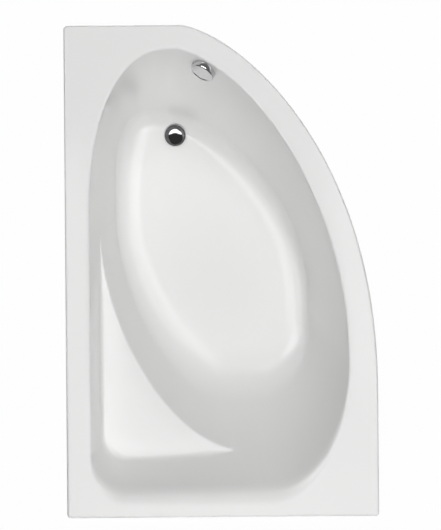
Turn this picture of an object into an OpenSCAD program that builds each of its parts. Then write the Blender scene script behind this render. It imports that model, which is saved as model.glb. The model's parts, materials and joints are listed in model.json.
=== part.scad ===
// Asymmetric corner bathtub: a moulded acrylic shell on a levelling frame,
// with a cable-driven pop-up waste, an overflow and a trap.
// +X is the right side seen from above, +Y the foot end with the waste, +Z up.
// The outline is measured from the middle of its length and width, the feet stand on z = 0.
// Left and head sides go against the two walls; the curve runs from foot left to head right.

/* [Overall size] */
// Length from head side to foot side
bath_length = 1500; // [1490:10:1650]
// Width from wall side to free side
bath_width = 950; // [935:5:1050]
// Height of the rim above the ground
rim_height = 580; // [570:5:620]
// Depth of the well at the waste
well_depth = 430; // [410:5:440]
// Thickness of acrylic and laminate together
shell_wall = 6; // [4:0.5:7]

/* [Rim] */
// Height of the turned-down lip
lip_height = 38; // [30:1:50]
// Rounding where rim and lip meet
lip_round = 8; // [4:0.5:9]
// Rounding of the outer corners in plan
outer_corner = 12; // [10:1:20]
// Width of the rim on the wall side
rim_left = 74; // [70:1:90]
// Width of the rim on the free side, at its narrowest
rim_right = 87; // [80:1:88]
// Width of the rim at the head side
rim_head = 74; // [70:1:80]
// Width of the rim at the foot side
rim_foot = 73; // [70:1:76]
// Rounding from rim to well on the wall, free and foot sides
rim_roll = 8; // [7:0.5:14]
// Softer rounding from rim to well at the head side
head_roll = 40; // [10:1:50]
// Reach across of the big outer curve
outer_curve_x = 595; // [570:1:610]
// Reach along of the big outer curve
outer_curve_y = 1130; // [1080:1:1200]
// Roundness of the big outer curve at its foot side
outer_curve_round = 1.5; // [1.45:0.01:1.6]
// Roundness of the big outer curve at its free side
outer_curve_side_round = 2.2; // [2.05:0.01:2.5]

/* [Opening of the well] */
// Foot left corner, reach across
open_foot_left_x = 245; // [220:1:260]
// Foot left corner, reach along
open_foot_left_y = 505; // [400:1:540]
// Foot left corner, roundness
open_foot_left_round = 2.2; // [1.9:0.05:2.6]
// Long free side, reach across
open_foot_right_x = 523; // [480:1:540]
// Long free side, reach along
open_foot_right_y = 950; // [900:1:960]
// Long free side, roundness at its foot end
open_foot_right_round = 1.52; // [1.4:0.01:1.8]
// Long free side, roundness along the side
open_foot_right_side_round = 1.96; // [1.8:0.01:2.3]
// Head right corner, reach across
open_head_right_x = 245; // [200:1:280]
// Head right corner, reach along
open_head_right_y = 390; // [340:1:400]
// Head right corner, roundness
open_head_right_round = 1.95; // [1.8:0.01:2.3]
// Egg curve of the well at head left, reach across
open_head_left_x = 502; // [460:1:530]
// Egg curve of the well at head left, reach along
open_head_left_y = 759; // [700:1:790]
// Egg curve of the well at head left, roundness
open_head_left_round = 1.75; // [1.65:0.01:1.9]
// Corner radius of the rim beside the shelf
open_corner = 112; // [90:1:140]

/* [Floor of the well] */
// Lean of the wall-side wall, from rim to floor
lean_left = 64; // [50:1:80]
// Lean of the free-side wall
lean_right = 113; // [90:1:125]
// Lean of the backrest at the head end
lean_head = 326; // [290:1:335]
// Lean of the foot end wall
lean_foot = 172; // [160:1:180]
// Foot left corner of the floor, reach across
floor_foot_left_x = 105; // [90:1:130]
// Foot left corner of the floor, reach along
floor_foot_left_y = 190; // [150:1:230]
// Foot left corner of the floor, roundness
floor_foot_left_round = 2.5; // [2:0.05:2.8]
// Long free side of the floor, reach across
floor_foot_right_x = 455; // [420:1:470]
// Long free side of the floor, reach along
floor_foot_right_y = 595; // [570:1:640]
// Long free side of the floor, roundness at its foot end
floor_foot_right_round = 1.53; // [1.5:0.01:1.8]
// Long free side of the floor, roundness along the side
floor_foot_right_side_round = 2; // [1.8:0.01:2.3]
// Head right corner of the floor, reach across
floor_head_right_x = 180; // [150:1:210]
// Head right corner of the floor, reach along
floor_head_right_y = 165; // [150:1:210]
// Head right corner of the floor, roundness
floor_head_right_round = 2; // [1.9:0.05:2.4]
// Head left curve of the floor, reach across
floor_head_left_x = 308; // [280:1:340]
// Head left curve of the floor, reach along
floor_head_left_y = 535; // [490:1:560]
// Head left curve of the floor, roundness
floor_head_left_round = 1.65; // [1.55:0.01:1.9]
// Width of the fillet between floor and wall-side wall
fillet_left = 105; // [70:1:108]
// Width of the fillet between floor and free-side wall
fillet_right = 90; // [60:1:95]
// Width of the fillet between floor and backrest
fillet_head = 120; // [90:1:125]
// Width of the fillet between floor and foot end wall
fillet_foot = 22; // [12:1:24]
// Reach up the wall of the fillet on the wall side
fillet_left_up = 58; // [30:1:80]
// Reach up the wall of the fillet on the free side
fillet_right_up = 50; // [30:1:80]
// Reach up the backrest of its fillet
fillet_head_up = 120; // [60:1:140]
// Reach up the foot end wall of its fillet
fillet_foot_up = 22; // [12:1:30]
// Fall of the floor towards the waste, in degrees
floor_fall = 0.5; // [0:0.1:1]

/* [Seat shelf] */
// Depth of the shelf below the rim
shelf_drop = 150; // [120:5:200]
// How far the head edge of the shelf bows out towards the head end
shelf_bow = 31; // [0:1:34]
// How much tighter the shelf corner is than the rim corner
shelf_corner_less = 30; // [10:1:50]
// Fillet between the shelf and the wall behind it
shelf_fillet = 22; // [12:1:28]
// Rounding of the shelf edge
shelf_edge = 7; // [4:0.5:12]
// Height over which the shelf fades into the wall at its two ends
shelf_fade = 20; // [10:1:30]

/* [Waste] */
// Distance of the waste from the wall side of the floor
waste_in = 187; // [182:1:196]
// Distance of the waste from the foot end of the floor
waste_from_foot = 53; // [52:1:62]
// Radius of the hole in the floor
waste_hole_r = 26; // [25:0.5:28]
// Radius of the chrome flange
flange_r = 35; // [34:0.5:37]
// Thickness of the chrome flange
flange_t = 2.5; // [2:0.1:4]
// Depth of the moulded seat for the flange
flange_sink = 1; // [0.6:0.1:1.4]
// Radius of the threaded sleeve of the flange
sleeve_r = 24; // [22:0.5:24.5]
// Wall of the threaded sleeve
sleeve_wall = 3; // [2:0.1:4]
// Length of the sleeve below the flange
sleeve_length = 26; // [22:1:28]
// Radius of the plug dome
plug_r = 33; // [31:0.5:34]
// Height of the plug dome
plug_rise = 9; // [6:0.5:12]
// Thickness of the plug rim
plug_edge = 2.5; // [2:0.1:4]
// How far the plug lifts
plug_lift = 8; // [6:0.5:9]
// Radius of the plug stem
stem_r = 4; // [3:0.1:5]
// Thickness of the upper waste gasket
top_gasket_t = 1.5; // [1:0.1:2.5]
// Thickness of the lower waste gasket
low_gasket_t = 3; // [2:0.1:4]
// Outer radius of the waste body
body_r = 31; // [30:0.5:34]
// Wall of the waste body
body_wall = 4; // [3:0.1:4.5]
// Height of the waste body under its top plate
body_height = 45; // [43:1:50]
// Radius of the lift lever shaft
lever_r = 3; // [2.5:0.1:3.5]
// Length of the lift arm, shaft to stem
lever_arm = 14; // [12:0.5:16]

/* [Overflow] */
// Place of the overflow along the big curve, in degrees from the free side
overflow_turn = 74; // [72:0.5:77]
// Depth of the overflow axis below the rim
overflow_drop = 47; // [46:1:60]
// Wall left between the two moulded seats of the overflow
overflow_seat_wall = 5.5; // [4:0.1:6]
// Radius of the overflow hole
overflow_hole_r = 26; // [25:0.5:27]
// Outer radius of the overflow gaskets
overflow_seal_r = 31; // [30:0.5:33]
// Thickness of each overflow gasket
overflow_seal_t = 2; // [1.5:0.1:3]
// Radius of the knob
knob_r = 38; // [36:0.5:39]
// Thickness of the knob
knob_t = 17; // [15:0.5:20]
// Wall of the knob
knob_wall = 2.5; // [2:0.1:4]
// Rounding of the front edge of the knob
knob_round = 4; // [2:0.5:6]
// Gap between knob and bath wall for the water
knob_gap = 3.5; // [3.2:0.1:6]
// Radius of the knob spindle
spindle_r = 4; // [3:0.1:5]
// Inner radius of the overflow housing
housing_r = 27; // [26:0.5:28]
// Depth of the overflow housing
housing_depth = 30; // [28:1:34]
// Wall of the overflow housing
housing_wall = 3; // [2:0.1:4]
// Radius of the cable drum
drum_r = 22; // [21:0.5:24]
// Width of the cable drum
drum_w = 8; // [6:0.5:10]

/* [Hose and cable] */
// Outer radius of the ribbed hose
hose_r = 14; // [13:0.5:15]
// Depth of the ribs of the hose
rib_depth = 1.4; // [0.8:0.1:1.6]
// Number of ribs of the hose
rib_count = 96; // [60:1:120]
// Radius of the spigots that carry the hose
spigot_r = 10; // [9:0.5:10.5]
// Wall of the spigots
spigot_wall = 2; // [1.5:0.1:3]
// Length of a hose nut
hose_nut_l = 20; // [16:1:24]
// Radius of a hose nut
hose_nut_r = 18; // [17:0.5:18.5]
// Outer radius of the control cable
cable_r = 2.5; // [2:0.1:3]
// Radius of the cable ferrules
ferrule_r = 3.6; // [3.3:0.1:3.8]

/* [Trap] */
// Outer radius of the trap pipes
pipe_r = 20; // [19:0.5:21]
// Wall of the trap pipes
pipe_wall = 2.5; // [2:0.1:3.5]
// Radius of the trap bends, to the middle of the pipe
bend_r = 32; // [31:1:34]
// Height of the water seal legs above the U-bend
trap_leg = 10; // [6:1:11]
// Radius of the trap nuts
trap_nut_r = 26; // [25:0.5:27]
// Length of the trap nuts
trap_nut_l = 18; // [14:1:20]
// Distance from the wall side to the end of the outlet pipe
outlet_in = 55; // [35:5:95]
// Radius of the cleaning cap
clean_cap_r = 15; // [14:0.5:18]

/* [Frame and feet] */
// Thickness of the base board at the waste end
board_t = 18; // [12:1:20]
// Step back of the base board from the edge of the flat floor
board_margin = 10; // [5:1:20]
// Distance of the foot end channel from the foot end of the floor
channel_foot_in = 195; // [175:5:225]
// Distance of the head end channel from the head end of the floor
channel_head_in = 160; // [155:5:200]
// Width of the cross channels
channel_w = 40; // [36:1:50]
// Height of the cross channels
channel_h = 20; // [16:1:30]
// Sheet thickness of the cross channels
channel_t = 2; // [1.5:0.5:3]
// Distance of the channel ends from the wall side of the floor
channel_left_in = 15; // [9:1:19]
// Distance of the channel ends from the free side of the floor
channel_right_in = 13; // [5:1:17]
// Distance of the feet from the channel ends
foot_inset = 20; // [18:1:24]
// Radius of the threaded foot rods
rod_r = 6; // [5:0.5:8]
// Running clearance of the rods in their nuts
rod_clear = 0.05; // [0.03:0.01:0.1]
// Height of the lock nuts
nut_h = 8; // [6:0.5:10]
// Radius over the corners of the lock nuts
nut_r = 10.4; // [10:0.1:12]
// Thread left above the upper nut
rod_above = 6; // [2:1:10]
// Radius of the foot pads
pad_r = 25; // [20:1:30]
// Thickness of the foot pads
pad_t = 10; // [8:0.5:14]
// Height of the pad socket above the pad
socket_h = 12; // [8:0.5:16]
// Wall of the pad socket
socket_wall = 6; // [4:0.5:8]
// Radius of the board screws
screw_r = 2.5; // [2:0.1:3]
// Length of the board screws in the wood
screw_l = 14; // [10:1:16]
// Distance between the board screws
screw_step = 45; // [40:1:48]
// Distance of the foot end screw row's middle from the wall side of the floor
screws_foot_in = 248; // [235:1:265]
// Distance of the head end screw row's middle from the wall side of the floor
screws_head_in = 383; // [360:1:400]

/* [Rim battens and wall clips] */
// Width of the battens under the rim
batten_w = 18; // [14:1:20]
// Height of the battens under the rim
batten_h = 18; // [12:1:24]
// Length of the long batten
batten_long = 1100; // [900:10:1200]
// Length of the short batten
batten_short = 600; // [500:10:700]
// Sheet thickness of the wall clips
clip_t = 3; // [2:0.5:4]
// Width of a wall clip
clip_w = 44; // [40:1:60]
// Height of the clip plate below the lip
clip_drop = 60; // [50:1:80]
// Distance of the outer clips from the middle of the long side
clip_place = 420; // [350:10:480]
// Radius of the clip screw holes
clip_hole_r = 3.2; // [2.5:0.1:4]
// Distance between the two screws of a clip
clip_hole_step = 24; // [20:1:28]

/* [Hidden] */
$fn = 64;

// Small gaps between pieces that slide into each other
fit = 0.1;
// Gap between pieces that only come near each other
near_gap = 0.3;
// Small overshoot of the cutting tools
over = 1;

// Number of straight pieces in each part of the outlines
free_steps = 26;
head_right_steps = 16;
run_steps = 12;
shelf_corner_steps = 8;
side_steps = 16;
foot_left_steps = 16;
egg_steps = run_steps + shelf_corner_steps + side_steps;
// Crowding of the steps towards the ends of the two straight runs beside the shelf corner
run_crowd = 1.5;
side_crowd = 0.7;
// Share of a wall that a rounding may take, at the shelf and at the floor
shelf_share_most = 0.45;
floor_share_most = 0.6;
// Least rounding of the underside and least extra width of its rim bend
least_edge = 1.5;
// Shelf width at which its fading ends are gone
fade_width = 30;

// Half sizes of the outline
half_x = bath_width / 2;
half_y = bath_length / 2;

// Outlines as [left, right, head, foot], then the foot right, head right, head left and foot left
// corners as [reach across, reach along, roundness across, roundness along], then the radius of the
// corner with straight runs and the bow of its head run.
// Where a smaller bath leaves too little room, the reaches shrink together.
function shrink(room, reaches) = min(1, room / max(reaches));
function fitted(s, across, along) = [
    s[0],
    [s[1][0] * across, s[1][1] * along, s[1][2], s[1][3]],
    [s[2][0] * across, s[2][1] * along, s[2][2], s[2][3]],
    [s[3][0] * across, s[3][1] * along, s[3][2], s[3][3]],
    [s[4][0] * across, s[4][1] * along, s[4][2], s[4][3]],
    s[5],
    s[6]
];
function fit_shape(s) = fitted(
    s,
    shrink(s[0][1] - s[0][0], [s[1][0] + s[4][0], s[2][0] + s[3][0]]),
    shrink(s[0][3] - s[0][2], [s[1][1] + s[2][1], s[3][1] + s[4][1]])
);

open_box = [-half_x + rim_left, half_x - rim_right, -half_y + rim_head, half_y - rim_foot];
open_shape = fit_shape([
    open_box,
    [open_foot_right_x, open_foot_right_y, open_foot_right_round, open_foot_right_side_round],
    [open_head_right_x, open_head_right_y, open_head_right_round, open_head_right_round],
    [open_head_left_x, open_head_left_y, open_head_left_round, open_head_left_round],
    [open_foot_left_x, open_foot_left_y, open_foot_left_round, open_foot_left_round],
    open_corner,
    0
]);
floor_box = [
    open_box[0] + lean_left,
    open_box[1] - lean_right,
    open_box[2] + lean_head,
    open_box[3] - lean_foot
];
floor_shape = fit_shape([
    floor_box,
    [floor_foot_right_x, floor_foot_right_y, floor_foot_right_round, floor_foot_right_side_round],
    [floor_head_right_x, floor_head_right_y, floor_head_right_round, floor_head_right_round],
    [floor_head_left_x, floor_head_left_y, floor_head_left_round, floor_head_left_round],
    [floor_foot_left_x, floor_foot_left_y, floor_foot_left_round, floor_foot_left_round],
    open_corner,
    0
]);
// The outer outline starts its straight runs beside those of the opening
outer_shape = fit_shape([
    [-half_x, half_x, -half_y, half_y],
    [outer_curve_x, outer_curve_y, outer_curve_round, outer_curve_side_round],
    [outer_corner, outer_corner, 2, 2],
    [rim_left + open_head_left_x, rim_head + open_head_left_y, 2, 2],
    [outer_corner, outer_corner, 2, 2],
    outer_corner,
    0
]);
shelf_share = shelf_drop / well_depth;
shelf_shape = [
    mix(open_box, floor_box, shelf_share),
    mix(open_shape[1], floor_shape[1], shelf_share),
    mix(open_shape[2], floor_shape[2], shelf_share),
    mix(open_shape[3], floor_shape[3], shelf_share),
    mix(open_shape[4], floor_shape[4], shelf_share),
    open_corner - shelf_corner_less,
    shelf_bow
];
fillets = [fillet_left, fillet_right, fillet_head, fillet_foot];
fillets_up = [fillet_left_up, fillet_right_up, fillet_head_up, fillet_foot_up];
rolls = [rim_roll, rim_roll, head_roll, rim_roll];

// Heights
rim_z = rim_height;
shelf_z = rim_z - shelf_drop;
floor_z = rim_z - well_depth;
under_z = floor_z - shell_wall;
lip_z = rim_z - lip_height;

// Places taken from the floor and the wall side
waste_x = floor_box[0] + waste_in;
waste_y = floor_box[3] - waste_from_foot;
outlet_x = -half_x + outlet_in;
channel_foot_y = floor_box[3] - channel_foot_in;
channel_head_y = floor_box[2] + channel_head_in;
channel_left = floor_box[0] + channel_left_in;
channel_right = floor_box[1] - channel_right_in;

// Waste stack, from the moulded seat downwards and upwards
low_seat_cut = 0.5;
seat_clear = 2;
seat_wall_most = 6;
gasket_back = 2;
flange_side = 0.4 * flange_t;
seat_z = floor_z - flange_sink;
low_seat_z = under_z + low_seat_cut;
flange_z = seat_z + top_gasket_t;
flange_top = flange_z + flange_t;
low_gasket_z = low_seat_z - low_gasket_t;
plate_t = 4;
plate_out = 5;
plate_r = body_r + plate_out;
plate_z = low_gasket_z - plate_t;
body_z = plate_z - body_height;
cavity_r = body_r - body_wall;
cavity_z = body_z + body_wall;
sleeve_z = flange_z - sleeve_length;
sleeve_in_r = sleeve_r - sleeve_wall;
hub_wall = 3;
hub_drop = 16;
hub_r = stem_r + hub_wall;
hub_z = flange_z - hub_drop;
hub_h = 8;
spoke_w = 2.5;

// Plug and lift lever
lever_rise = 11;
lever_z = cavity_z + lever_rise;
lever_half_turn = asin(plug_lift / 2 / lever_arm);
arm_r = 2.4;
stem_z = lever_z - plug_lift / 2 + arm_r + near_gap;
plug_z = flange_top + near_gap;
seal_ring_r = 1.5;
seal_ring_in = 0.2;
seal_ring_mid = sleeve_in_r - seal_ring_in;
stem_in_dome = 2;
stem_tip_r = 0.8;
stem_tip_h = stem_r - stem_tip_r;
collar_r = seal_ring_mid - seal_ring_r - near_gap;
collar_drop = 4;
collar_z = flange_top - collar_drop;
collar_lip_r = sleeve_in_r - 0.6;
collar_taper = 2;
collar_lip = 0.8;
seal_z = collar_z + collar_lip + seal_ring_r + near_gap;
cone_drop = 4.6;
cone_z = flange_top - cone_drop;
cone_rise = 3.2;
crank_l = 9;
crank_r = arm_r - 0.4;
shaft_in_wall = 1.4;
shaft_half = sqrt(pow(cavity_r, 2) - pow(lever_arm, 2)) + shaft_in_wall;

// Wall point of the overflow and its directions
open_at = side_point(open_shape, overflow_turn);
floor_at = side_point(floor_shape, overflow_turn);
drop_share = overflow_drop / well_depth;
overflow_xy = mix(open_at, floor_at, drop_share);
overflow_p = [overflow_xy[0], overflow_xy[1], rim_z - overflow_drop];
along_dir = unit(wall_point(overflow_turn - 1, drop_share) - wall_point(overflow_turn + 1, drop_share));
up_dir = unit(wall_point(overflow_turn, 0) - wall_point(overflow_turn, 2 * drop_share));
face_dir = unit(cross(along_dir, up_dir));
// Turn and rise of the overflow axis, which points into the well
axis_turn = atan2(face_dir[1], face_dir[0]);
axis_rise = asin(face_dir[2]);
// Own axes of the overflow: down the wall, sideways and into the well
down_dir = [sin(axis_rise) * cos(axis_turn), sin(axis_rise) * sin(axis_turn), -cos(axis_rise)];
side_dir = [-sin(axis_turn), cos(axis_turn), 0];
well_dir = [cos(axis_rise) * cos(axis_turn), cos(axis_rise) * sin(axis_turn), sin(axis_rise)];

// Overflow stack along its axis, zero at the inner wall
clamp_t = 3;
clamp_z = overflow_seal_t;
rear_seal_z = -overflow_seat_wall - overflow_seal_t;
housing_plate_t = 3;
housing_front = rear_seal_z - housing_plate_t;
housing_back = rear_seal_z - housing_depth;
clamp_sleeve_clear = 2;
clamp_sleeve_r = overflow_hole_r - clamp_sleeve_clear;
clamp_sleeve_l = 14;
clamp_sleeve_wall = 2;
bearing_wall = 3;
bearing_r = spindle_r + bearing_wall;
bearing_l = 10;
drum_back = 5;
drum_z = housing_back + housing_wall + drum_back;
drum_mid = drum_z + drum_w / 2;
drum_rim = 2;
drum_rim_t = 1.5;
drum_groove = 1;
spindle_back = housing_back + housing_wall;
spindle_in_housing = 1.2;
spindle_socket = 1.5;
spindle_short = 3;
spindle_front = knob_gap + knob_t - knob_wall - spindle_short;
boss_z = clamp_z + clamp_t + near_gap;
boss_r = spindle_r + 3.5;
slot_edge = 1.5;
slot_r = knob_r - knob_wall - slot_edge;
slot_w = 5;
slot_from = 0.55 * knob_r;

// Hose: upper spigot straight down from the housing, lower spigot level from the waste body
spigot_top = to_world([0, 0, drum_mid]);
hose_turn = atan2(spigot_top[1] - waste_y, spigot_top[0] - waste_x);
hose_far = norm([spigot_top[0] - waste_x, spigot_top[1] - waste_y]);
upper_spigot_l = 26;
upper_spigot_z = spigot_top[2] - housing_r - upper_spigot_l;
spigot_cover = 16;
hose_top_z = upper_spigot_z + spigot_cover;
port_rise = 4;
port_z = cavity_z + spigot_r + port_rise;
lower_spigot_l = 26;
lower_spigot_end = body_r + lower_spigot_l;
hose_end = lower_spigot_end - spigot_cover;
hose_straight = 2 * hose_r;
hose_curve_top = [hose_far, hose_top_z - hose_straight];
hose_curve_low = [hose_end + hose_straight, port_z];
hose_drop_share = 0.55;
hose_level_share = 0.7;
hose_drop_pull = hose_drop_share * (hose_curve_top[1] - hose_curve_low[1]);
hose_level_pull = hose_level_share * (hose_curve_top[0] - hose_curve_low[0]);
hose_points = [
    hose_curve_top,
    hose_curve_top - [0, hose_drop_pull],
    hose_curve_low + [hose_level_pull, 0],
    hose_curve_low
];
hose_sides = 8;
side_angles = [for (j = [0 : hose_sides - 1]) 360 * j / hose_sides];
hose_bore_r = (spigot_r + near_gap) / cos(180 / hose_sides);
bore_steps = 30;
nut_lip = 3;
hose_flute_out = 0.8;
hose_flute_r = 1.8;

// Control cable: from the drum side of the housing to the crank side of the waste body
cable_side = drum_r;
crank_side = cable_side - 3;
cable_socket = 5;
upper_ferrule_l = 16;
lower_ferrule_l = 12;
ferrule_in = 1;
upper_ferrule_end = housing_r + upper_ferrule_l;
lower_ferrule_end = body_r + lower_ferrule_l;
crank_z = lever_z + crank_l;
cable_from = to_world([upper_ferrule_end, cable_side, drum_mid]);
cable_to = waste_side([lower_ferrule_end, -cable_side, crank_z]);
cable_drop_share = 0.46;
cable_level_share = 0.6;
cable_drop_pull = cable_drop_share * (cable_from[2] - cable_to[2]);
cable_level_pull = cable_level_share * norm([cable_from[0] - cable_to[0], cable_from[1] - cable_to[1]]);
cable_points = [
    cable_from - down_dir * cable_socket,
    cable_from,
    cable_from + down_dir * cable_drop_pull,
    cable_to + waste_way([cable_level_pull, 0]),
    cable_to,
    cable_to - waste_way([cable_socket, 0])
];
cable_steps = 60;

// Trap heights and places
tail_l = 18;
joint_z = body_z - tail_l;
u_z = joint_z - trap_leg;
outlet_leg_x = waste_x - 2 * bend_r;
outlet_collar_more = 1;
outlet_collar = trap_nut_l / 2 + outlet_collar_more;
outlet_z = joint_z + outlet_collar + bend_r;
trap_nut_z = joint_z - trap_nut_l / 2;
u_mid_x = waste_x - bend_r;
cap_l = 12;
cap_flute_out = 0.8;
cap_flute_r = 2;
trap_flute_out = 1.2;
trap_flute_r = 3;
cap_wall = 3;
cap_boss_r = clean_cap_r - cap_wall;
cap_boss_out = 10;
cap_boss_l = pipe_r + cap_boss_out;

// Frame heights
channel_top = under_z - board_t;
channel_z = channel_top - channel_h;
rod_top = channel_top + nut_h + rod_above;
rod_foot = pad_t / 2;
pad_chamfer = 1.5;
pad_slope = 3.5;
foot_left_x = channel_left + foot_inset;
foot_right_x = channel_right - foot_inset;
feet = [
    [foot_left_x, channel_foot_y],
    [foot_right_x, channel_foot_y],
    [foot_left_x, channel_head_y],
    [foot_right_x, channel_head_y]
];
screw_count = 4;
screws_foot_x = floor_box[0] + screws_foot_in;
screws_head_x = floor_box[0] + screws_head_in;
screw_head_r = 4.5;
screw_head_h = 2.5;
screw_head_small = 0.7 * screw_head_r;
rod_hole_r = rod_r + 0.5;
board_gap = 14;
bond_t = 0.05;
board_end_y = waste_y - plate_r - board_gap;
board_cut_room = well_depth / 10;

// Clip profile: plate on the wall, step under the lip, hook behind it
clip_air = 3;
clip_step = shell_wall + clip_t + clip_air;
batten_gap = 2;
batten_edge = clip_step + batten_gap;

// Small helpers
function mix(a, b, t) = a + (b - a) * t;
function unit(v) = v / norm(v);
function smooth(t) = t <= 0 ? 0 : t >= 1 ? 1 : t * t * (3 - 2 * t);

// Place on the overflow's own axes, as a point of the bath
function to_world(p) = overflow_p + down_dir * p[0] + side_dir * p[1] + well_dir * p[2];
// Way out from the waste towards the overflow, and place [out, sideways, height] there
function waste_way(p) = [
    p[0] * cos(hose_turn) - p[1] * sin(hose_turn),
    p[0] * sin(hose_turn) + p[1] * cos(hose_turn),
    0
];
function waste_side(p) = [waste_x, waste_y, p[2]] + waste_way([p[0], p[1]]);

// Outlines

// Point of a rounded corner about c with half sizes a at angle q; its roundness is n across and
// along, so that (x / a[0]) ^ n[0] + (y / a[1]) ^ n[1] = 1
function corner_point(c, a, n, q) = [
    c[0] + a[0] * sign(cos(q)) * pow(abs(cos(q)), 2 / n[0]),
    c[1] + a[1] * sign(sin(q)) * pow(abs(sin(q)), 2 / n[1])
];
function roundness(corner) = [corner[2], corner[3]];
function corner_arc(c, a, n, from, to, steps) = [
    for (i = [0 : steps]) corner_point(c, a, n, mix(from, to, i / steps))
];
// The four corner centres of an outline
function foot_right_c(s) = [s[0][1] - s[1][0], s[0][3] - s[1][1]];
function head_right_c(s) = [s[0][1] - s[2][0], s[0][2] + s[2][1]];
function head_left_c(s) = [s[0][0] + s[3][0], s[0][2] + s[3][1]];
function foot_left_c(s) = [s[0][0] + s[4][0], s[0][3] - s[4][1]];

// Point of the long free side at an angle
function side_point(s, q) = corner_point(foot_right_c(s), s[1], roundness(s[1]), q);
// Point of the wall under it, at a share of the depth
function wall_point(q, share) = let (
    p = mix(side_point(open_shape, q), side_point(floor_shape, q), share)
) [p[0], p[1], rim_z - share * well_depth];

// Head left corner as a curve
function egg_part(s, in) = corner_arc(
    head_left_c(s), [s[3][0] - in[0], s[3][1] - in[2]], roundness(s[3]), -90, -180, egg_steps
);
// Head left corner as two runs and a small radius; the head run bows out to its corner
function square_part(s, in) = let (
    c = head_left_c(s),
    r = s[5],
    left = s[0][0],
    head = s[0][2],
    bowed = head - s[6]
) concat(
    [for (i = [0 : run_steps - 1]) let (t = pow(i / run_steps, run_crowd))
        [mix(c[0], left + r, t), mix(head, bowed, t * (2 - t)) + in[2]]],
    [for (i = [0 : shelf_corner_steps - 1])
        corner_point([left + r, bowed + r], [r - in[0], r - in[2]], [2, 2], -90 - 90 * i / shelf_corner_steps)],
    [for (i = [0 : side_steps]) [left + in[0], mix(bowed + r, c[1], pow(i / side_steps, side_crowd))]]
);
// Whole outline, clockwise from above, set in by [left, right, head, foot]
function outline(s, in, square) = concat(
    corner_arc(foot_right_c(s), [s[1][0] - in[1], s[1][1] - in[3]], roundness(s[1]), 90, 0, free_steps),
    corner_arc(head_right_c(s), [s[2][0] - in[1], s[2][1] - in[2]], roundness(s[2]), 0, -90, head_right_steps),
    square ? square_part(s, in) : egg_part(s, in),
    corner_arc(foot_left_c(s), [s[4][0] - in[0], s[4][1] - in[3]], roundness(s[4]), 180, 90, foot_left_steps)
);
function all_sides(d) = [d, d, d, d];

// Surface of the shell

// Rounded corner at p between a and b: a quadratic curve that starts da and ends db away from p
function bend(p, a, b, da, db, steps) = let (
    from = p + unit(a - p) * da,
    to = p + unit(b - p) * db
) [for (i = [0 : steps]) let (t = i / steps) (1 - t) * (1 - t) * from + 2 * t * (1 - t) * p + t * t * to];

function floor_height(p, drop) = floor_z - drop + (waste_y - p[1]) * tan(floor_fall);
function at_height(p, z) = [p[0], p[1], z];

// One skin of the well, grown outwards and lowered by g, as a list of columns from rim to floor
function well_columns(g, n_roll, n_shelf, n_edge, n_fillet) = let (
    rim = outline(open_shape, all_sides(-g), true),
    roll = outline(open_shape, -[for (r = rolls) max(r, g == 0 ? 0 : g + least_edge)], true),
    egg = outline(open_shape, all_sides(-g), false),
    ground = outline(floor_shape, all_sides(-g), false),
    flat = outline(floor_shape, fillets, false),
    climb = outline(floor_shape, fillets_up, false),
    shelf = outline(shelf_shape, all_sides(-g), true),
    egg_from = free_steps + head_right_steps + 2,
    egg_to = egg_from + egg_steps
) [
    for (i = [0 : len(rim) - 1]) let (
        edge = mix(egg[i], ground[i], shelf_share),
        back = i >= egg_from && i <= egg_to ? shelf[i] : edge,
        wide = norm(back - edge),
        fade = shelf_fade * (1 - smooth(wide / fade_width)),
        v1 = at_height(rim[i], rim_z - g),
        v2 = at_height(mix(back, rim[i], fade / shelf_drop), shelf_z - g + fade),
        v3 = at_height(mix(edge, ground[i], fade / (well_depth - shelf_drop)), shelf_z - g - fade),
        v4 = at_height(ground[i], floor_height(ground[i], g)),
        v5 = at_height(flat[i], floor_height(flat[i], g)),
        v0 = at_height(roll[i], rim_z - g),
        shelf_d = shelf_share_most * norm(v3 - v2),
        d1 = norm(v0 - v1),
        d2 = min(shelf_fillet + g, shelf_d),
        d3 = min(max(shelf_edge - g, least_edge), shelf_d),
        d4 = min(norm(climb[i] - ground[i]), floor_share_most * norm(v4 - v3)),
        d5 = norm(v5 - v4)
    ) concat(
        bend(v1, v0, v2, d1, d1, n_roll),
        bend(v2, v1, v3, d2, d2, n_shelf),
        bend(v3, v2, v4, d3, d3, n_edge),
        bend(v4, v3, v5, d4, d5, n_fillet)
    )
];

// Rings of the lip: [set in, height]
lip_outside = concat(
    [[0, lip_z]],
    [for (a = [0, 30, 60, 90]) [lip_round * (1 - cos(a)), rim_z - lip_round * (1 - sin(a))]]
);
lip_inside = [[shell_wall, rim_z - shell_wall], [shell_wall, lip_z]];
function lip_rings(list) = [
    for (r = list) [for (p = outline(outer_shape, all_sides(r[0]), true)) at_height(p, r[1])]
];

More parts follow.
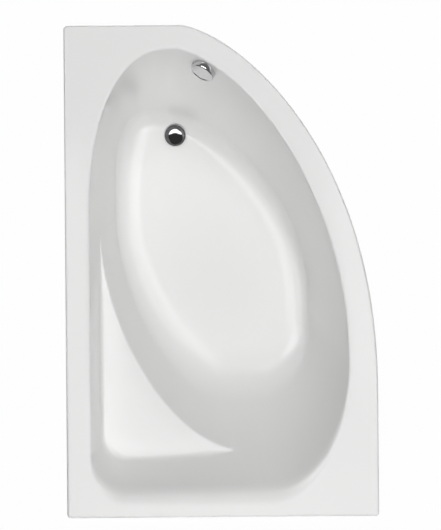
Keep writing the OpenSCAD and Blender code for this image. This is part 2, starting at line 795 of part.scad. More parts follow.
module bath_shell_body() {
    top = well_columns(0, 4, 4, 3, 6);
    low = well_columns(shell_wall, 2, 2, 2, 3);
    outside = lip_rings(lip_outside);
    inside = lip_rings(lip_inside);
    columns = [
        for (i = [0 : len(top) - 1]) concat(
            [for (r = outside) r[i]],
            top[i],
            [for (j = [len(low[i]) - 1 : -1 : 0]) low[i][j]],
            [for (r = inside) r[i]]
        )
    ];
    n = len(columns);
    m = len(columns[0]);
    flat_at = len(lip_outside) + len(top[0]) - 1;
    mid = [(floor_box[0] + floor_box[1]) / 2, (floor_box[2] + floor_box[3]) / 2];
    points = concat(
        [for (c = columns) each c],
        [at_height(mid, floor_height(mid, 0)), at_height(mid, floor_height(mid, shell_wall))]
    );
    skin = [
        for (i = [0 : n - 1]) for (j = [0 : m - 1]) if (j != flat_at)
            let (k = (i + 1) % n, l = (j + 1) % m)
                each [[i * m + j, k * m + j, k * m + l], [i * m + j, k * m + l, i * m + l]]
    ];
    caps = [
        for (i = [0 : n - 1]) let (k = (i + 1) % n)
            each [
                [i * m + flat_at, k * m + flat_at, n * m],
                [i * m + flat_at + 1, n * m + 1, k * m + flat_at + 1]
            ]
    ];
    polyhedron(points, concat(skin, caps), convexity = 6);
}

module bath_shell() {
    color("white")
        difference() {
            bath_shell_body();
            // Hole and level seats for the waste
            translate([waste_x, waste_y, under_z - over])
                cylinder(r = waste_hole_r, h = shell_wall + 2 * over);
            translate([waste_x, waste_y, seat_z])
                cylinder(r = flange_r + seat_clear, h = flange_sink + seat_wall_most);
            translate([waste_x, waste_y, low_seat_z - 2 * over])
                cylinder(r = plate_r + 1, h = 2 * over);
            // Hole and flat seats for the overflow
            at_overflow() {
                translate([0, 0, -2 * shell_wall])
                    cylinder(r = overflow_hole_r, h = 4 * shell_wall);
                cylinder(r = overflow_seal_r + 1, h = 2 * shell_wall);
                translate([0, 0, -overflow_seat_wall - 2 * shell_wall])
                    cylinder(r = overflow_seal_r + housing_wall, h = 2 * shell_wall);
            }
        }
}

// Places and rings
module at_overflow() {
    translate(overflow_p)
        rotate([0, 90 - axis_rise, axis_turn])
            children();
}

module at_waste(z) {
    translate([waste_x, waste_y, z])
        children();
}

// Turned so that +X points from the waste towards the overflow
module towards_overflow(z) {
    at_waste(z)
        rotate([0, 0, hose_turn])
            children();
}

module ring(outer, inner, h) {
    difference() {
        cylinder(r = outer, h = h);
        translate([0, 0, -over])
            cylinder(r = inner, h = h + 2 * over);
    }
}

module spokes(reach, h) {
    for (a = [0, 90, 180, 270])
        rotate([0, 0, a])
            translate([0, -spoke_w / 2, 0])
                cube([reach, spoke_w, h]);
}

// Board, battens and frame
module base_board() {
    color("burlywood")
        difference() {
            translate([0, 0, channel_top])
                linear_extrude(height = board_t + board_cut_room)
                    intersection() {
                        polygon(board_outline());
                        translate([-half_x, -half_y])
                            square([bath_width, half_y + board_end_y]);
                    }
            // Top cut to the fall of the floor, a thin bond below the shell
            translate([0, waste_y, under_z - bond_t])
                rotate([-floor_fall, 0, 0])
                    translate([-half_x, -bath_length, 0])
                        cube([bath_width, 2 * bath_length, well_depth]);
            screw_places()
                translate([0, 0, -over])
                    cylinder(r = screw_r, h = screw_l + over);
        }
}

// Every third point of the flat floor's outline, set in by the board margin
function board_outline() = let (
    p = outline(floor_shape, fillets + all_sides(board_margin), false)
) [for (i = [0 : 3 : len(p) - 1]) p[i]];

module rim_battens() {
    color("burlywood") {
        translate([-half_x + batten_edge, -batten_long / 2, rim_z - shell_wall - batten_h])
            cube([batten_w, batten_long, batten_h]);
        translate([-batten_short / 2, -half_y + batten_edge, rim_z - shell_wall - batten_h])
            cube([batten_short, batten_w, batten_h]);
    }
}

module channel_bar() {
    difference() {
        translate([channel_left, -channel_w / 2, channel_z])
            cube([channel_right - channel_left, channel_w, channel_h]);
        translate([channel_left - over, channel_t - channel_w / 2, channel_z - over])
            cube([
                channel_right - channel_left + 2 * over,
                channel_w - 2 * channel_t,
                channel_h - channel_t + over
            ]);
        for (x = [foot_left_x, foot_right_x])
            translate([x, 0, channel_z])
                cylinder(r = rod_hole_r, h = channel_h + over);
    }
}

module cross_channels() {
    color("silver")
        difference() {
            union() {
                translate([0, channel_foot_y, 0])
                    channel_bar();
                translate([0, channel_head_y, 0])
                    channel_bar();
            }
            screw_places()
                translate([0, 0, -channel_t - over])
                    cylinder(r = screw_r + near_gap, h = channel_t + 2 * over);
        }
}

function screw_offset(i) = (i - (screw_count - 1) / 2) * screw_step;

module screw_places() {
    for (i = [0 : screw_count - 1]) {
        translate([screws_foot_x + screw_offset(i), channel_foot_y, channel_top])
            children();
        translate([screws_head_x + screw_offset(i), channel_head_y, channel_top])
            children();
    }
}

module board_screws() {
    color("silver")
        screw_places() {
            translate([0, 0, -channel_t])
                cylinder(r = screw_r, h = channel_t + screw_l);
            translate([0, 0, -channel_t - screw_head_h])
                cylinder(r1 = screw_head_small, r2 = screw_head_r, h = screw_head_h);
        }
}

module hex_nut() {
    difference() {
        cylinder(r = nut_r, h = nut_h, $fn = 6);
        translate([0, 0, -over])
            cylinder(r = rod_r + rod_clear, h = nut_h + 2 * over);
    }
}

module foot_nuts() {
    color("silver")
        for (p = feet) {
            translate([p[0], p[1], channel_top])
                hex_nut();
            translate([p[0], p[1], channel_top - channel_t - nut_h])
                hex_nut();
        }
}

module foot_rod(i) {
    color("silver")
        translate([feet[i][0], feet[i][1], rod_foot])
            cylinder(r = rod_r, h = rod_top - rod_foot);
}

module foot_pad(i) {
    color("dimgray")
        translate([feet[i][0], feet[i][1], 0])
            rotate_extrude()
                polygon([
                    [0, 0],
                    [pad_r - pad_chamfer, 0],
                    [pad_r, pad_chamfer],
                    [pad_r, pad_t - pad_slope],
                    [pad_r - pad_slope, pad_t],
                    [rod_r + socket_wall + pad_chamfer, pad_t],
                    [rod_r + socket_wall, pad_t + pad_chamfer],
                    [rod_r + socket_wall, pad_t + socket_h],
                    [rod_r, pad_t + socket_h],
                    [rod_r, rod_foot],
                    [0, rod_foot]
                ]);
}

module foot_rod_1() { foot_rod(0); }
module foot_rod_2() { foot_rod(1); }
module foot_rod_3() { foot_rod(2); }
module foot_rod_4() { foot_rod(3); }
module foot_pad_1() { foot_pad(0); }
module foot_pad_2() { foot_pad(1); }
module foot_pad_3() { foot_pad(2); }
module foot_pad_4() { foot_pad(3); }

// One wall clip with its plate on the plane x = 0, in the middle of y
module wall_clip() {
    difference() {
        rotate([90, 0, 0])
            translate([0, 0, -clip_w / 2])
                linear_extrude(height = clip_w)
                    polygon([
                        [0, lip_z - clip_drop],
                        [clip_t, lip_z - clip_drop],
                        [clip_t, lip_z - clip_t],
                        [clip_step, lip_z - clip_t],
                        [clip_step, rim_z - shell_wall],
                        [clip_step - clip_t, rim_z - shell_wall],
                        [clip_step - clip_t, lip_z],
                        [0, lip_z]
                    ]);
        for (y = [-clip_hole_step / 2, clip_hole_step / 2])
            translate([-over, y, lip_z - clip_drop / 2])
                rotate([0, 90, 0])
                    cylinder(r = clip_hole_r, h = clip_t + 2 * over);
    }
}

module wall_clips() {
    color("silver") {
        for (y = [-clip_place, clip_place])
            translate([-half_x, y, 0])
                wall_clip();
        translate([0, -half_y, 0])
            rotate([0, 0, 90])
                wall_clip();
    }
}

// Overflow
module overflow_front_seal() {
    color("dimgray")
        at_overflow()
            ring(overflow_seal_r, overflow_hole_r, overflow_seal_t);
}

module overflow_rear_seal() {
    color("dimgray")
        at_overflow()
            translate([0, 0, rear_seal_z])
                ring(overflow_seal_r, overflow_hole_r, overflow_seal_t);
}

// Ring in the well with a threaded sleeve through the wall and a bearing for the spindle
module overflow_clamp() {
    color("gainsboro")
        at_overflow()
            difference() {
                union() {
                    translate([0, 0, clamp_z])
                        cylinder(r = overflow_seal_r, h = clamp_t);
                    translate([0, 0, clamp_z - clamp_sleeve_l])
                        cylinder(r = clamp_sleeve_r, h = clamp_sleeve_l);
                }
                translate([0, 0, clamp_z - clamp_sleeve_l - over])
                    difference() {
                        cylinder(r = clamp_sleeve_r - clamp_sleeve_wall, h = clamp_sleeve_l + clamp_t + 2 * over);
                        translate([0, 0, clamp_sleeve_l + clamp_t + over - bearing_l]) {
                            cylinder(r = bearing_r, h = bearing_l + over);
                            spokes(clamp_sleeve_r, bearing_l + over);
                        }
                    }
                translate([0, 0, clamp_z - clamp_sleeve_l - over])
                    cylinder(r = spindle_r + rod_clear, h = clamp_sleeve_l + clamp_t + 2 * over);
            }
}

module overflow_housing() {
    color("gainsboro")
        difference() {
            union() {
                at_overflow() {
                    translate([0, 0, housing_front])
                        cylinder(r = overflow_seal_r + housing_wall - near_gap, h = housing_plate_t);
                    translate([0, 0, housing_back])
                        cylinder(r = housing_r + housing_wall, h = housing_front - housing_back + over);
                }
                translate([spigot_top[0], spigot_top[1], upper_spigot_z])
                    cylinder(r = spigot_r, h = spigot_top[2] - upper_spigot_z);
            }
            at_overflow() {
                // Chamber of the drum, then the threaded collar of the clamp
                translate([0, 0, spindle_back])
                    cylinder(r = housing_r, h = clamp_z - clamp_sleeve_l - near_gap - spindle_back);
                translate([0, 0, clamp_z - clamp_sleeve_l - near_gap - over])
                    cylinder(r = clamp_sleeve_r + fit, h = clamp_sleeve_l + 2 * over);
                // Socket of the spindle end
                translate([0, 0, spindle_back - spindle_socket])
                    cylinder(r = spindle_r + rod_clear, h = spindle_socket + over);
                // Hole for the cable
                translate([0, cable_side, drum_mid])
                    rotate([0, 90, 0])
                        cylinder(r = ferrule_r, h = 2 * housing_r);
            }
            translate([spigot_top[0], spigot_top[1], upper_spigot_z - over])
                cylinder(r = spigot_r - spigot_wall, h = spigot_top[2] - upper_spigot_z);
        }
}

module overflow_knob() {
    color("silver")
        at_overflow()
            difference() {
                union() {
                    difference() {
                        translate([0, 0, knob_gap])
                            rotate_extrude()
                                difference() {
                                    union() {
                                        square([knob_r - knob_round, knob_t]);
                                        square([knob_r, knob_t - knob_round]);
                                        translate([knob_r - knob_round, knob_t - knob_round])
                                            circle(r = knob_round);
                                    }
                                    translate([-2 * knob_r, -knob_t])
                                        square([2 * knob_r, 3 * knob_t]);
                                }
                        translate([0, 0, knob_gap - over])
                            cylinder(r = knob_r - knob_wall, h = knob_t - knob_wall + over);
                    }
                    // Boss for the spindle
                    translate([0, 0, boss_z])
                        cylinder(r = boss_r, h = knob_gap + knob_t - knob_wall / 2 - boss_z);
                }
                translate([0, 0, knob_gap - over])
                    cylinder(r = spindle_r, h = spindle_front - knob_gap + over);
                // Inlet slot at the lower edge of the front face
                translate([0, 0, knob_gap + knob_t - knob_wall - over])
                    intersection() {
                        ring(slot_r, slot_r - slot_w, knob_wall + 2 * over);
                        translate([slot_from, -knob_r, 0])
                            cube([knob_r, 2 * knob_r, knob_wall + 2 * over]);
                    }
            }
}

module knob_spindle() {
    color("goldenrod")
        at_overflow()
            translate([0, 0, spindle_back - spindle_in_housing])
                cylinder(r = spindle_r, h = spindle_front - spindle_back + spindle_in_housing);
}

module cable_drum() {
    color("white")
        at_overflow()
            translate([0, 0, drum_z])
                rotate_extrude()
                    polygon([
                        [spindle_r, 0],
                        [drum_r + drum_rim, 0],
                        [drum_r + drum_rim, drum_rim_t],
                        [drum_r - drum_groove, drum_w / 2 - drum_groove],
                        [drum_r - drum_groove, drum_w / 2 + drum_groove],
                        [drum_r + drum_rim, drum_w - drum_rim_t],
                        [drum_r + drum_rim, drum_w],
                        [spindle_r, drum_w]
                    ]);
}

// Hose
function cubic(p, t) = let (s = 1 - t)
    s * s * s * p[0] + 3 * s * s * t * p[1] + 3 * s * t * t * p[2] + t * t * t * p[3];

// Middle line of the hose as [out from the waste, height], t from 0 to 1 between the straight ends
function hose_at(t) = cubic(hose_points, t);
way_step = 0.001;
function hose_way(t) = unit(hose_at(min(t + way_step, 1)) - hose_at(max(t - way_step, 0)));

// Ring of points about a place of the middle line
function hose_ring(p, way, r) = let (
    mid = waste_side([p[0], 0, p[1]]),
    across = waste_way([0, 1]),
    normal = waste_way([-way[1], 0]) + [0, 0, way[0]]
) [for (a = side_angles) mid + r * (cos(a) * across + sin(a) * normal)];

rib_half = 2 * rib_count;
hose_outer = concat(
    [hose_ring([hose_far, hose_top_z], [0, -1], hose_r)],
    [for (i = [0 : rib_half]) hose_ring(hose_at(i / rib_half), hose_way(i / rib_half),
        i % 2 == 0 ? hose_r : hose_r - rib_depth)],
    [hose_ring([hose_end, port_z], [-1, 0], hose_r)]
);
hose_inner = concat(
    [hose_ring([hose_far, hose_top_z], [0, -1], hose_bore_r)],
    [for (i = [0 : bore_steps]) hose_ring(hose_at(i / bore_steps), hose_way(i / bore_steps), hose_bore_r)],
    [hose_ring([hose_end, port_z], [-1, 0], hose_bore_r)]
);

// Triangles between rings of n points, ring a of them starting at point number from
function ring_faces(count, n, from, flip) = [
    for (i = [0 : count - 2]) for (j = [0 : n - 1]) let (
        a = from + i * n + j,
        b = from + i * n + (j + 1) % n,
        c = a + n,
        d = b + n
    ) each flip ? [[a, d, b], [a, c, d]] : [[a, b, d], [a, d, c]]
];

module overflow_hose() {
    inner_from = hose_sides * len(hose_outer);
    outer_last = hose_sides * (len(hose_outer) - 1);
    inner_last = inner_from + hose_sides * (len(hose_inner) - 1);
    ends = [
        for (j = [0 : hose_sides - 1]) let (k = (j + 1) % hose_sides) each [
            [j, inner_from + k, inner_from + j],
            [j, k, inner_from + k],
            [outer_last + j, inner_last + j, inner_last + k],
            [outer_last + j, inner_last + k, outer_last + k]
        ]
    ];
    color("lightgray")
        polyhedron(
            concat([for (r = hose_outer) each r], [for (r = hose_inner) each r]),
            concat(
                ring_faces(len(hose_outer), hose_sides, 0, true),
                ring_faces(len(hose_inner), hose_sides, inner_from, false),
                ends
            ),
            convexity = 6
        );
}

// Grip flutes about the Z axis
module flutes(count, place_r, r, h) {
    for (i = [0 : count - 1])
        rotate([0, 0, 360 * i / count])
            translate([place_r, 0, -over])
                cylinder(r = r, h = h + 2 * over);
}

// Nut over a spigot along +Z, its mouth over the hose end
module hose_nut() {
    difference() {
        cylinder(r = hose_nut_r, h = hose_nut_l);
        translate([0, 0, -over])
            cylinder(r = hose_r + fit, h = hose_nut_l - nut_lip + over);
        translate([0, 0, -over])
            cylinder(r = spigot_r + fit, h = hose_nut_l + 2 * over);
        flutes(12, hose_nut_r + hose_flute_out, hose_flute_r, hose_nut_l);
    }
}

module hose_nut_top() {
    color("dimgray")
        translate([spigot_top[0], spigot_top[1], hose_top_z + nut_lip - hose_nut_l])
            hose_nut();
}

module hose_nut_low() {
    color("dimgray")
        towards_overflow(port_z)
            translate([hose_end - nut_lip + hose_nut_l, 0, 0])
                rotate([0, -90, 0])
                    hose_nut();
}

// Control cable
function cable_middle(t) = cubic([cable_points[1], cable_points[2], cable_points[3], cable_points[4]], t);
cable_line = concat(
    [cable_points[0]],
    [for (i = [0 : cable_steps]) cable_middle(i / cable_steps)],
    [cable_points[5]]
);
function cable_ring(i) = let (
    n = len(cable_line),
    way = unit(cable_line[min(i + 1, n - 1)] - cable_line[max(i - 1, 0)]),
    a = unit(cross(way, cross(side_dir, way))),
    b = cross(way, a)
) [for (q = side_angles) cable_line[i] + cable_r * (cos(q) * a + sin(q) * b)];

module control_cable() {
    n = len(cable_line);
    last = hose_sides * (n - 1);
    color("black")
        polyhedron(
            concat([for (i = [0 : n - 1]) each cable_ring(i)], [cable_line[0], cable_line[n - 1]]),
            concat(
                ring_faces(n, hose_sides, 0, true),
                [for (j = [0 : hose_sides - 1]) [j, (j + 1) % hose_sides, hose_sides * n]],
                [for (j = [0 : hose_sides - 1]) [last + (j + 1) % hose_sides, last + j, hose_sides * n + 1]]
            ),
            convexity = 4
        );
}

// Ferrule along +X with a socket for the cable end
module ferrule(from, to) {
    translate([from, 0, 0])
        rotate([0, 90, 0])
            difference() {
                cylinder(r = ferrule_r, h = to - from);
                translate([0, 0, to - from - cable_socket])
                    cylinder(r = cable_r + fit, h = cable_socket + over);
            }
}

module cable_ferrules() {
    color("silver") {
        at_overflow()
            translate([0, cable_side, drum_mid])
                ferrule(sqrt(pow(housing_r, 2) - pow(cable_side, 2)) + ferrule_in, upper_ferrule_end);
        towards_overflow(crank_z)
            translate([0, -cable_side, 0])
                ferrule(sqrt(pow(cavity_r, 2) - pow(cable_side, 2)) + ferrule_in, lower_ferrule_end);
    }
}

// Waste
module waste_flange() {
    color("silver")
        at_waste(0)
            difference() {
                union() {
                    translate([0, 0, flange_z])
                        rotate_extrude()
                            polygon([
                                [0, 0],
                                [flange_r, 0],
                                [flange_r, flange_side],
                                [flange_r - (flange_t - flange_side), flange_t],
                                [0, flange_t]
                            ]);
                    translate([0, 0, sleeve_z])
                        cylinder(r = sleeve_r, h = sleeve_length);
                }
                difference() {
                    translate([0, 0, sleeve_z - over])
                        cylinder(r = sleeve_in_r, h = sleeve_length + flange_t + 2 * over);
                    translate([0, 0, hub_z]) {
                        cylinder(r = hub_r, h = hub_h);
                        spokes(sleeve_r, hub_h);
                    }
                }
                // Cone that the plug seal closes on
                translate([0, 0, cone_z])
                    cylinder(r1 = sleeve_in_r, r2 = sleeve_in_r + cone_rise, h = flange_top - cone_z);
                translate([0, 0, flange_top])
                    cylinder(r = sleeve_in_r + cone_rise, h = over);
                translate([0, 0, hub_z - over])
                    cylinder(r = stem_r + rod_clear, h = hub_h + 2 * over);
            }
}

module waste_top_seal() {
    color("dimgray")
        at_waste(seat_z)
            ring(flange_r - gasket_back, waste_hole_r, top_gasket_t);
}

module waste_low_seal() {
    color("dimgray")
        at_waste(low_gasket_z)
            ring(plate_r - gasket_back, waste_hole_r, low_gasket_t);
}

module waste_body() {
    color("gainsboro")
        difference() {
            union() {
                at_waste(0) {
                    translate([0, 0, plate_z])
                        cylinder(r = plate_r, h = plate_t);
                    translate([0, 0, body_z])
                        cylinder(r = body_r, h = body_height);
                    translate([0, 0, joint_z])
                        cylinder(r = pipe_r, h = body_z - joint_z);
                }
                towards_overflow(port_z)
                    rotate([0, 90, 0])
                        cylinder(r = spigot_r, h = lower_spigot_end);
            }
            at_waste(0) {
                translate([0, 0, cavity_z])
                    cylinder(r = cavity_r, h = sleeve_z - near_gap - cavity_z);
                translate([0, 0, cavity_z])
                    cylinder(r = sleeve_r + fit, h = plate_z + plate_t + over - cavity_z);
                translate([0, 0, joint_z - over])
                    cylinder(r = pipe_r - pipe_wall, h = cavity_z - joint_z + 2 * over);
            }
            towards_overflow(port_z)
                rotate([0, 90, 0])
                    cylinder(r = spigot_r - spigot_wall, h = lower_spigot_end + over);
            // Blind bores of the lever shaft
            towards_overflow(lever_z)
                translate([lever_arm, -shaft_half, 0])
                    rotate([-90, 0, 0])
                        cylinder(r = lever_r + rod_clear, h = 2 * shaft_half);
            // Hole for the cable ferrule
            towards_overflow(crank_z)
                translate([0, -cable_side, 0])
                    rotate([0, 90, 0])
                        cylinder(r = ferrule_r, h = 2 * body_r);
        }
}

module plug_dome() {
    // Radius of the sphere that rises plug_rise over the edge radius
    dome_r = (plug_r * plug_r + plug_rise * plug_rise) / (2 * plug_rise);
    color("silver")
        at_waste(plug_z)
            difference() {
                union() {
                    cylinder(r = plug_r, h = plug_edge);
                    intersection() {
                        translate([0, 0, plug_edge + plug_rise - dome_r])
                            sphere(r = dome_r);
                        cylinder(r = plug_r, h = plug_edge + plug_rise + over);
                    }
                }
                translate([0, 0, -over])
                    cylinder(r = stem_r, h = over + plug_edge + stem_in_dome);
            }
}

module plug_stem() {
    color("goldenrod")
        at_waste(0)
            union() {
                // Pointed foot that the lift arm pushes on
                translate([0, 0, stem_z])
                    cylinder(r1 = stem_tip_r, r2 = stem_r, h = stem_tip_h);
                translate([0, 0, stem_z + stem_tip_h])
                    cylinder(r = stem_r, h = plug_z + plug_edge + stem_in_dome - stem_z - stem_tip_h);
                // Collar with a lip that carries the seal ring
                translate([0, 0, collar_z - collar_taper])
                    cylinder(r1 = stem_r + collar_taper, r2 = collar_lip_r, h = collar_taper);
                translate([0, 0, collar_z])
                    cylinder(r = collar_lip_r, h = collar_lip);
                translate([0, 0, collar_z])
                    cylinder(r = collar_r, h = plug_z - collar_z);
            }
}

module plug_seal() {
    color("dimgray")
        at_waste(seal_z)
            rotate_extrude()
                translate([seal_ring_mid, 0])
                    circle(r = seal_ring_r);
}

module lift_lever() {
    color("silver")
        towards_overflow(lever_z)
            union() {
                // Shaft
                translate([lever_arm, near_gap - shaft_half, 0])
                    rotate([-90, 0, 0])
                        cylinder(r = lever_r, h = 2 * (shaft_half - near_gap));
                // Lift arm, lowered under the stem
                translate([lever_arm, 0, 0])
                    rotate([0, -90 - lever_half_turn, 0])
                        cylinder(r = arm_r, h = lever_arm);
                translate([lever_arm, 0, 0])
                    rotate([0, -90 - lever_half_turn, 0])
                        translate([0, 0, lever_arm])
                            sphere(r = arm_r);
                // Crank for the cable, upright when the plug is lifted
                translate([lever_arm, -crank_side, 0])
                    rotate([0, -2 * lever_half_turn, 0])
                        cylinder(r = crank_r, h = crank_l);
            }
}

// Trap
module pipe_bend(angle) {
    rotate_extrude(angle = angle)
        translate([bend_r, 0])
            difference() {
                circle(r = pipe_r);
                circle(r = pipe_r - pipe_wall);
            }
}

module trap_nut(x) {
    color("dimgray")
        translate([x, waste_y, trap_nut_z])
            difference() {
                cylinder(r = trap_nut_r, h = trap_nut_l);
                translate([0, 0, -over])
                    cylinder(r = pipe_r + fit, h = trap_nut_l + 2 * over);
                flutes(12, trap_nut_r + trap_flute_out, trap_flute_r, trap_nut_l);
            }
}

module trap_inlet_nut() { trap_nut(waste_x); }
module trap_outlet_nut() { trap_nut(outlet_leg_x); }

module trap_bend() {
    color("gainsboro")
        difference() {
            union() {
                translate([u_mid_x, waste_y, u_z])
                    rotate([90, 0, 0])
                        rotate([0, 0, 180])
                            pipe_bend(180);
                for (x = [waste_x, outlet_leg_x])
                    translate([x, waste_y, u_z])
                        ring(pipe_r, pipe_r - pipe_wall, trap_leg);
                // Boss of the cleaning cap
                translate([u_mid_x, waste_y, u_z - bend_r])
                    rotate([90, 0, 0])
                        cylinder(r = cap_boss_r, h = cap_boss_l);
            }
            translate([u_mid_x, waste_y, u_z - bend_r])
                rotate([90, 0, 0])
                    cylinder(r = cap_boss_r - pipe_wall, h = cap_boss_l + over);
            // Keep the pipe open behind the boss
            translate([u_mid_x, waste_y, u_z])
                rotate([90, 0, 0])
                    rotate([0, 0, 180])
                        rotate_extrude(angle = 180)
                            translate([bend_r, 0])
                                circle(r = pipe_r - pipe_wall);
        }
}

module trap_clean_cap() {
    color("dimgray")
        translate([u_mid_x, waste_y - cap_boss_l - cap_wall, u_z - bend_r])
            rotate([-90, 0, 0])
                difference() {
                    cylinder(r = clean_cap_r, h = cap_l);
                    translate([0, 0, cap_wall])
                        cylinder(r = cap_boss_r + fit, h = cap_l);
                    flutes(8, clean_cap_r + cap_flute_out, cap_flute_r, cap_l);
                }
}

module outlet_pipe() {
    color("gainsboro") {
        translate([outlet_leg_x, waste_y, joint_z])
            ring(pipe_r, pipe_r - pipe_wall, outlet_collar);
        translate([outlet_leg_x - bend_r, waste_y, joint_z + outlet_collar])
            rotate([90, 0, 0])
                pipe_bend(90);
        translate([outlet_leg_x - bend_r, waste_y, outlet_z])
            rotate([0, -90, 0])
                ring(pipe_r, pipe_r - pipe_wall, outlet_leg_x - bend_r - outlet_x);
    }
}

bath_shell();
base_board();
rim_battens();
cross_channels();
board_screws();
foot_nuts();
foot_rod_1();
foot_rod_2();
foot_rod_3();
foot_rod_4();
foot_pad_1();
foot_pad_2();
foot_pad_3();
foot_pad_4();
wall_clips();
overflow_clamp();
overflow_front_seal();
overflow_rear_seal();
overflow_housing();
overflow_knob();
knob_spindle();
cable_drum();
overflow_hose();
hose_nut_top();
hose_nut_low();
control_cable();
cable_ferrules();
waste_flange();
waste_top_seal();
waste_low_seal();
waste_body();
plug_dome();
plug_stem();
plug_seal();
lift_lever();
trap_inlet_nut();
trap_bend();
trap_clean_cap();
trap_outlet_nut();
outlet_pipe();
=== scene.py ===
"""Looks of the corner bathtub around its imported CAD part."""

import json
import math

import bpy
import numpy as np
from mathutils import Matrix, Vector


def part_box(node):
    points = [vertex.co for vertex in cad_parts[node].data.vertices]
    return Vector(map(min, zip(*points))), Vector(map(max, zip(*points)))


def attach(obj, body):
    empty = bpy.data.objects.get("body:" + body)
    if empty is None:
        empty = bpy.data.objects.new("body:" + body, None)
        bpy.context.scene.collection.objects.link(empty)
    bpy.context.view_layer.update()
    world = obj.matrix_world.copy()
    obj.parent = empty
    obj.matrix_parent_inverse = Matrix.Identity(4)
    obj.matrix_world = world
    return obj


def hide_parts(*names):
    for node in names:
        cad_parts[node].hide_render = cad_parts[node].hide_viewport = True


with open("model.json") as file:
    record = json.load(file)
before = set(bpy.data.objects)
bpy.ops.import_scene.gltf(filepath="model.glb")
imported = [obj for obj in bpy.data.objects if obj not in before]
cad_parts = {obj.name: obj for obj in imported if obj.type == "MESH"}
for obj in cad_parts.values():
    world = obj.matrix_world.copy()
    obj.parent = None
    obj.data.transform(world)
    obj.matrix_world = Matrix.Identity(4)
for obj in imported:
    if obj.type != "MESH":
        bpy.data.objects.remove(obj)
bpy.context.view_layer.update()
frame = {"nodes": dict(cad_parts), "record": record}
nodes = frame["nodes"]

# Sizes of the moulding in millimetres, the same as in the CAD source unless said
HALF_X, HALF_Y = 475.0, 750.0
RIM_Z, WELL, SHELF = 580.0, 430.0, 150.0
WALL, SKIN = 6.0, 3.0
LIP, LIP_ROUND = 38.0, 8.0
# Width of the rim at its two straight sides, and the radius of its corners there
RIM_SIDE, RIM_CORNER = 74, 12
FLOOR_Z = RIM_Z - WELL
FALL = math.tan(math.radians(0.5))
WASTE = np.array([-150.0, 452.0])
# A shape is its box as left, right, head and foot, then its corners as (reach across, reach along,
# roundness across, roundness along): foot right, head right, head left and foot left. The last value
# is the radius of the head left corner where that one is nearly square, as over the shelf
OPEN = (
    (-401.0, 388.0, -676.0, 677.0),
    (523, 950, 1.52, 1.96),
    (245, 390, 1.95, 1.95),
    (502, 759, 1.75, 1.75),
    (245, 505, 2.2, 2.2),
    112,
)
FLOOR = (
    (-337.0, 275.0, -350.0, 505.0),
    (455, 595, 1.53, 2.0),
    (180, 165, 2.0, 2.0),
    (308, 535, 1.65, 1.65),
    (105, 190, 2.5, 2.5),
    112,
)
OUTER = (
    (-HALF_X, HALF_X, -HALF_Y, HALF_Y),
    (595, 1130, 1.5, 2.2),
    (RIM_CORNER, RIM_CORNER, 2, 2),
    (RIM_SIDE + 502, RIM_SIDE + 759, 2, 2),
    (RIM_CORNER, RIM_CORNER, 2, 2),
    RIM_CORNER,
)
# Reach of the floor's fillets over the floor and up the wall, at its left, right, head and foot
FILLETS = (105.0, 90.0, 120.0, 22.0)
FILLETS_UP = (58.0, 50.0, 120.0, 22.0)
# The acrylic's face runs into the walls more softly than its back, the laminate and the solid do:
# the part of the floor that stays flat under it, and its reach up the walls
FACE_FLAT = (
    (-205.0, 158.0, -226.0, 450.0),
    (288, 526, 1.3, 1.75),
    (128, 145, 2.0, 2.0),
    (232, 450, 1.65, 1.65),
    (50, 110, 2.2, 2.2),
    0,
)
FACE_UP = (60.0, 52.0, 122.0, 75.0)
# Width of the rim's roll into the well on the same four sides
ROLLS = (8.0, 8.0, 40.0, 8.0)
# The shelf: its fillets at the wall and at its edge, the bow of its head edge, how much less the radius
# of its corner is than the opening's, and the width under which it fades into the wall (30 in the
# solid) over this height up and down
SHELF_FILLET, SHELF_EDGE, SHELF_BOW, SHELF_TIGHTER, FADE_UNDER, SHELF_FADE = 22.0, 7.0, 31.0, 30, 11, 20.0
# Least reach of an edge's rounding on the undersides
LEAST_EDGE = 1.5
# Greatest shares of a slope that the fillets at its two ends may take
SLOPE_SHARE, FLOOR_SHARE = 0.45, 0.6
# Steps of the outlines, how many times finer they are here than in the solids, and how they crowd
# towards the shelf corner on the two runs beside it
STEPS = {"free": 26, "head": 16, "run": 12, "corner": 8, "side": 16, "foot": 16}
FINE = 5
RUN_CROWD, SIDE_CROWD = 1.5, 0.7
# Steps of the bends at rim, shelf, shelf edge and floor, of the face and of the undersides
FACE_STEPS, LOW_STEPS = (10, 12, 10, 26), (6, 8, 6, 16)
# Rows between the bends, over the flat rim, and on the flat floor above and below
ROWS_BETWEEN, RIM_ROWS, FLOOR_ROWS = (3, 3, 8), 5, (4, 3)
# Holes for overflow and waste: their radius, how far the cutters reach to both sides, points round them
HOLE_R, OVERFLOW_REACH, WASTE_REACH, CUT_SIDES = 26.0, 30.0, 50.0, 128
# Radius of the overflow's seat in the acrylic, and radius, place and depth of the flat behind the laminate
OVERFLOW_SEAT_R, OVERFLOW_BACK_R, OVERFLOW_BACK, OVERFLOW_BACK_DEEP = 32.0, 34.0, -5.5, 40.0
# The waste's seat lies this far under the floor, and is cut to these rows of radius and height over it
SEAT_SINK = 1.0
WASTE_SEAT = ((36.5, 0.0), (37.2, 0.15), (37.5, 0.6), (40.0, 18.0))
# Radius of the flat under the waste, how much of the wall it takes, and how far down its cutter reaches
WASTE_BACK_R, WASTE_BACK_CUT, WASTE_BACK_DEEP = 37.0, 0.5, 20.0
# The rows over the floor's middle meet in a small ring, this far from the waste's middle towards the head
RING_R, RING_BACK = 10.0, 15.0
# Bevel at the lip's lower edge, a row over it, rows of the rim's round edge, and how much higher than
# that lower edge the laminate and the acrylic's inner face end
LIP_BEVEL, LIP_ROW, LIP_ROUND_ROWS, LAMINATE_UP, INNER_UP = 0.8, 12.0, 15, 4.0, 1.0
# Edges sharper than this angle in degrees stay sharp in the shading
SMOOTH_UNDER = 35
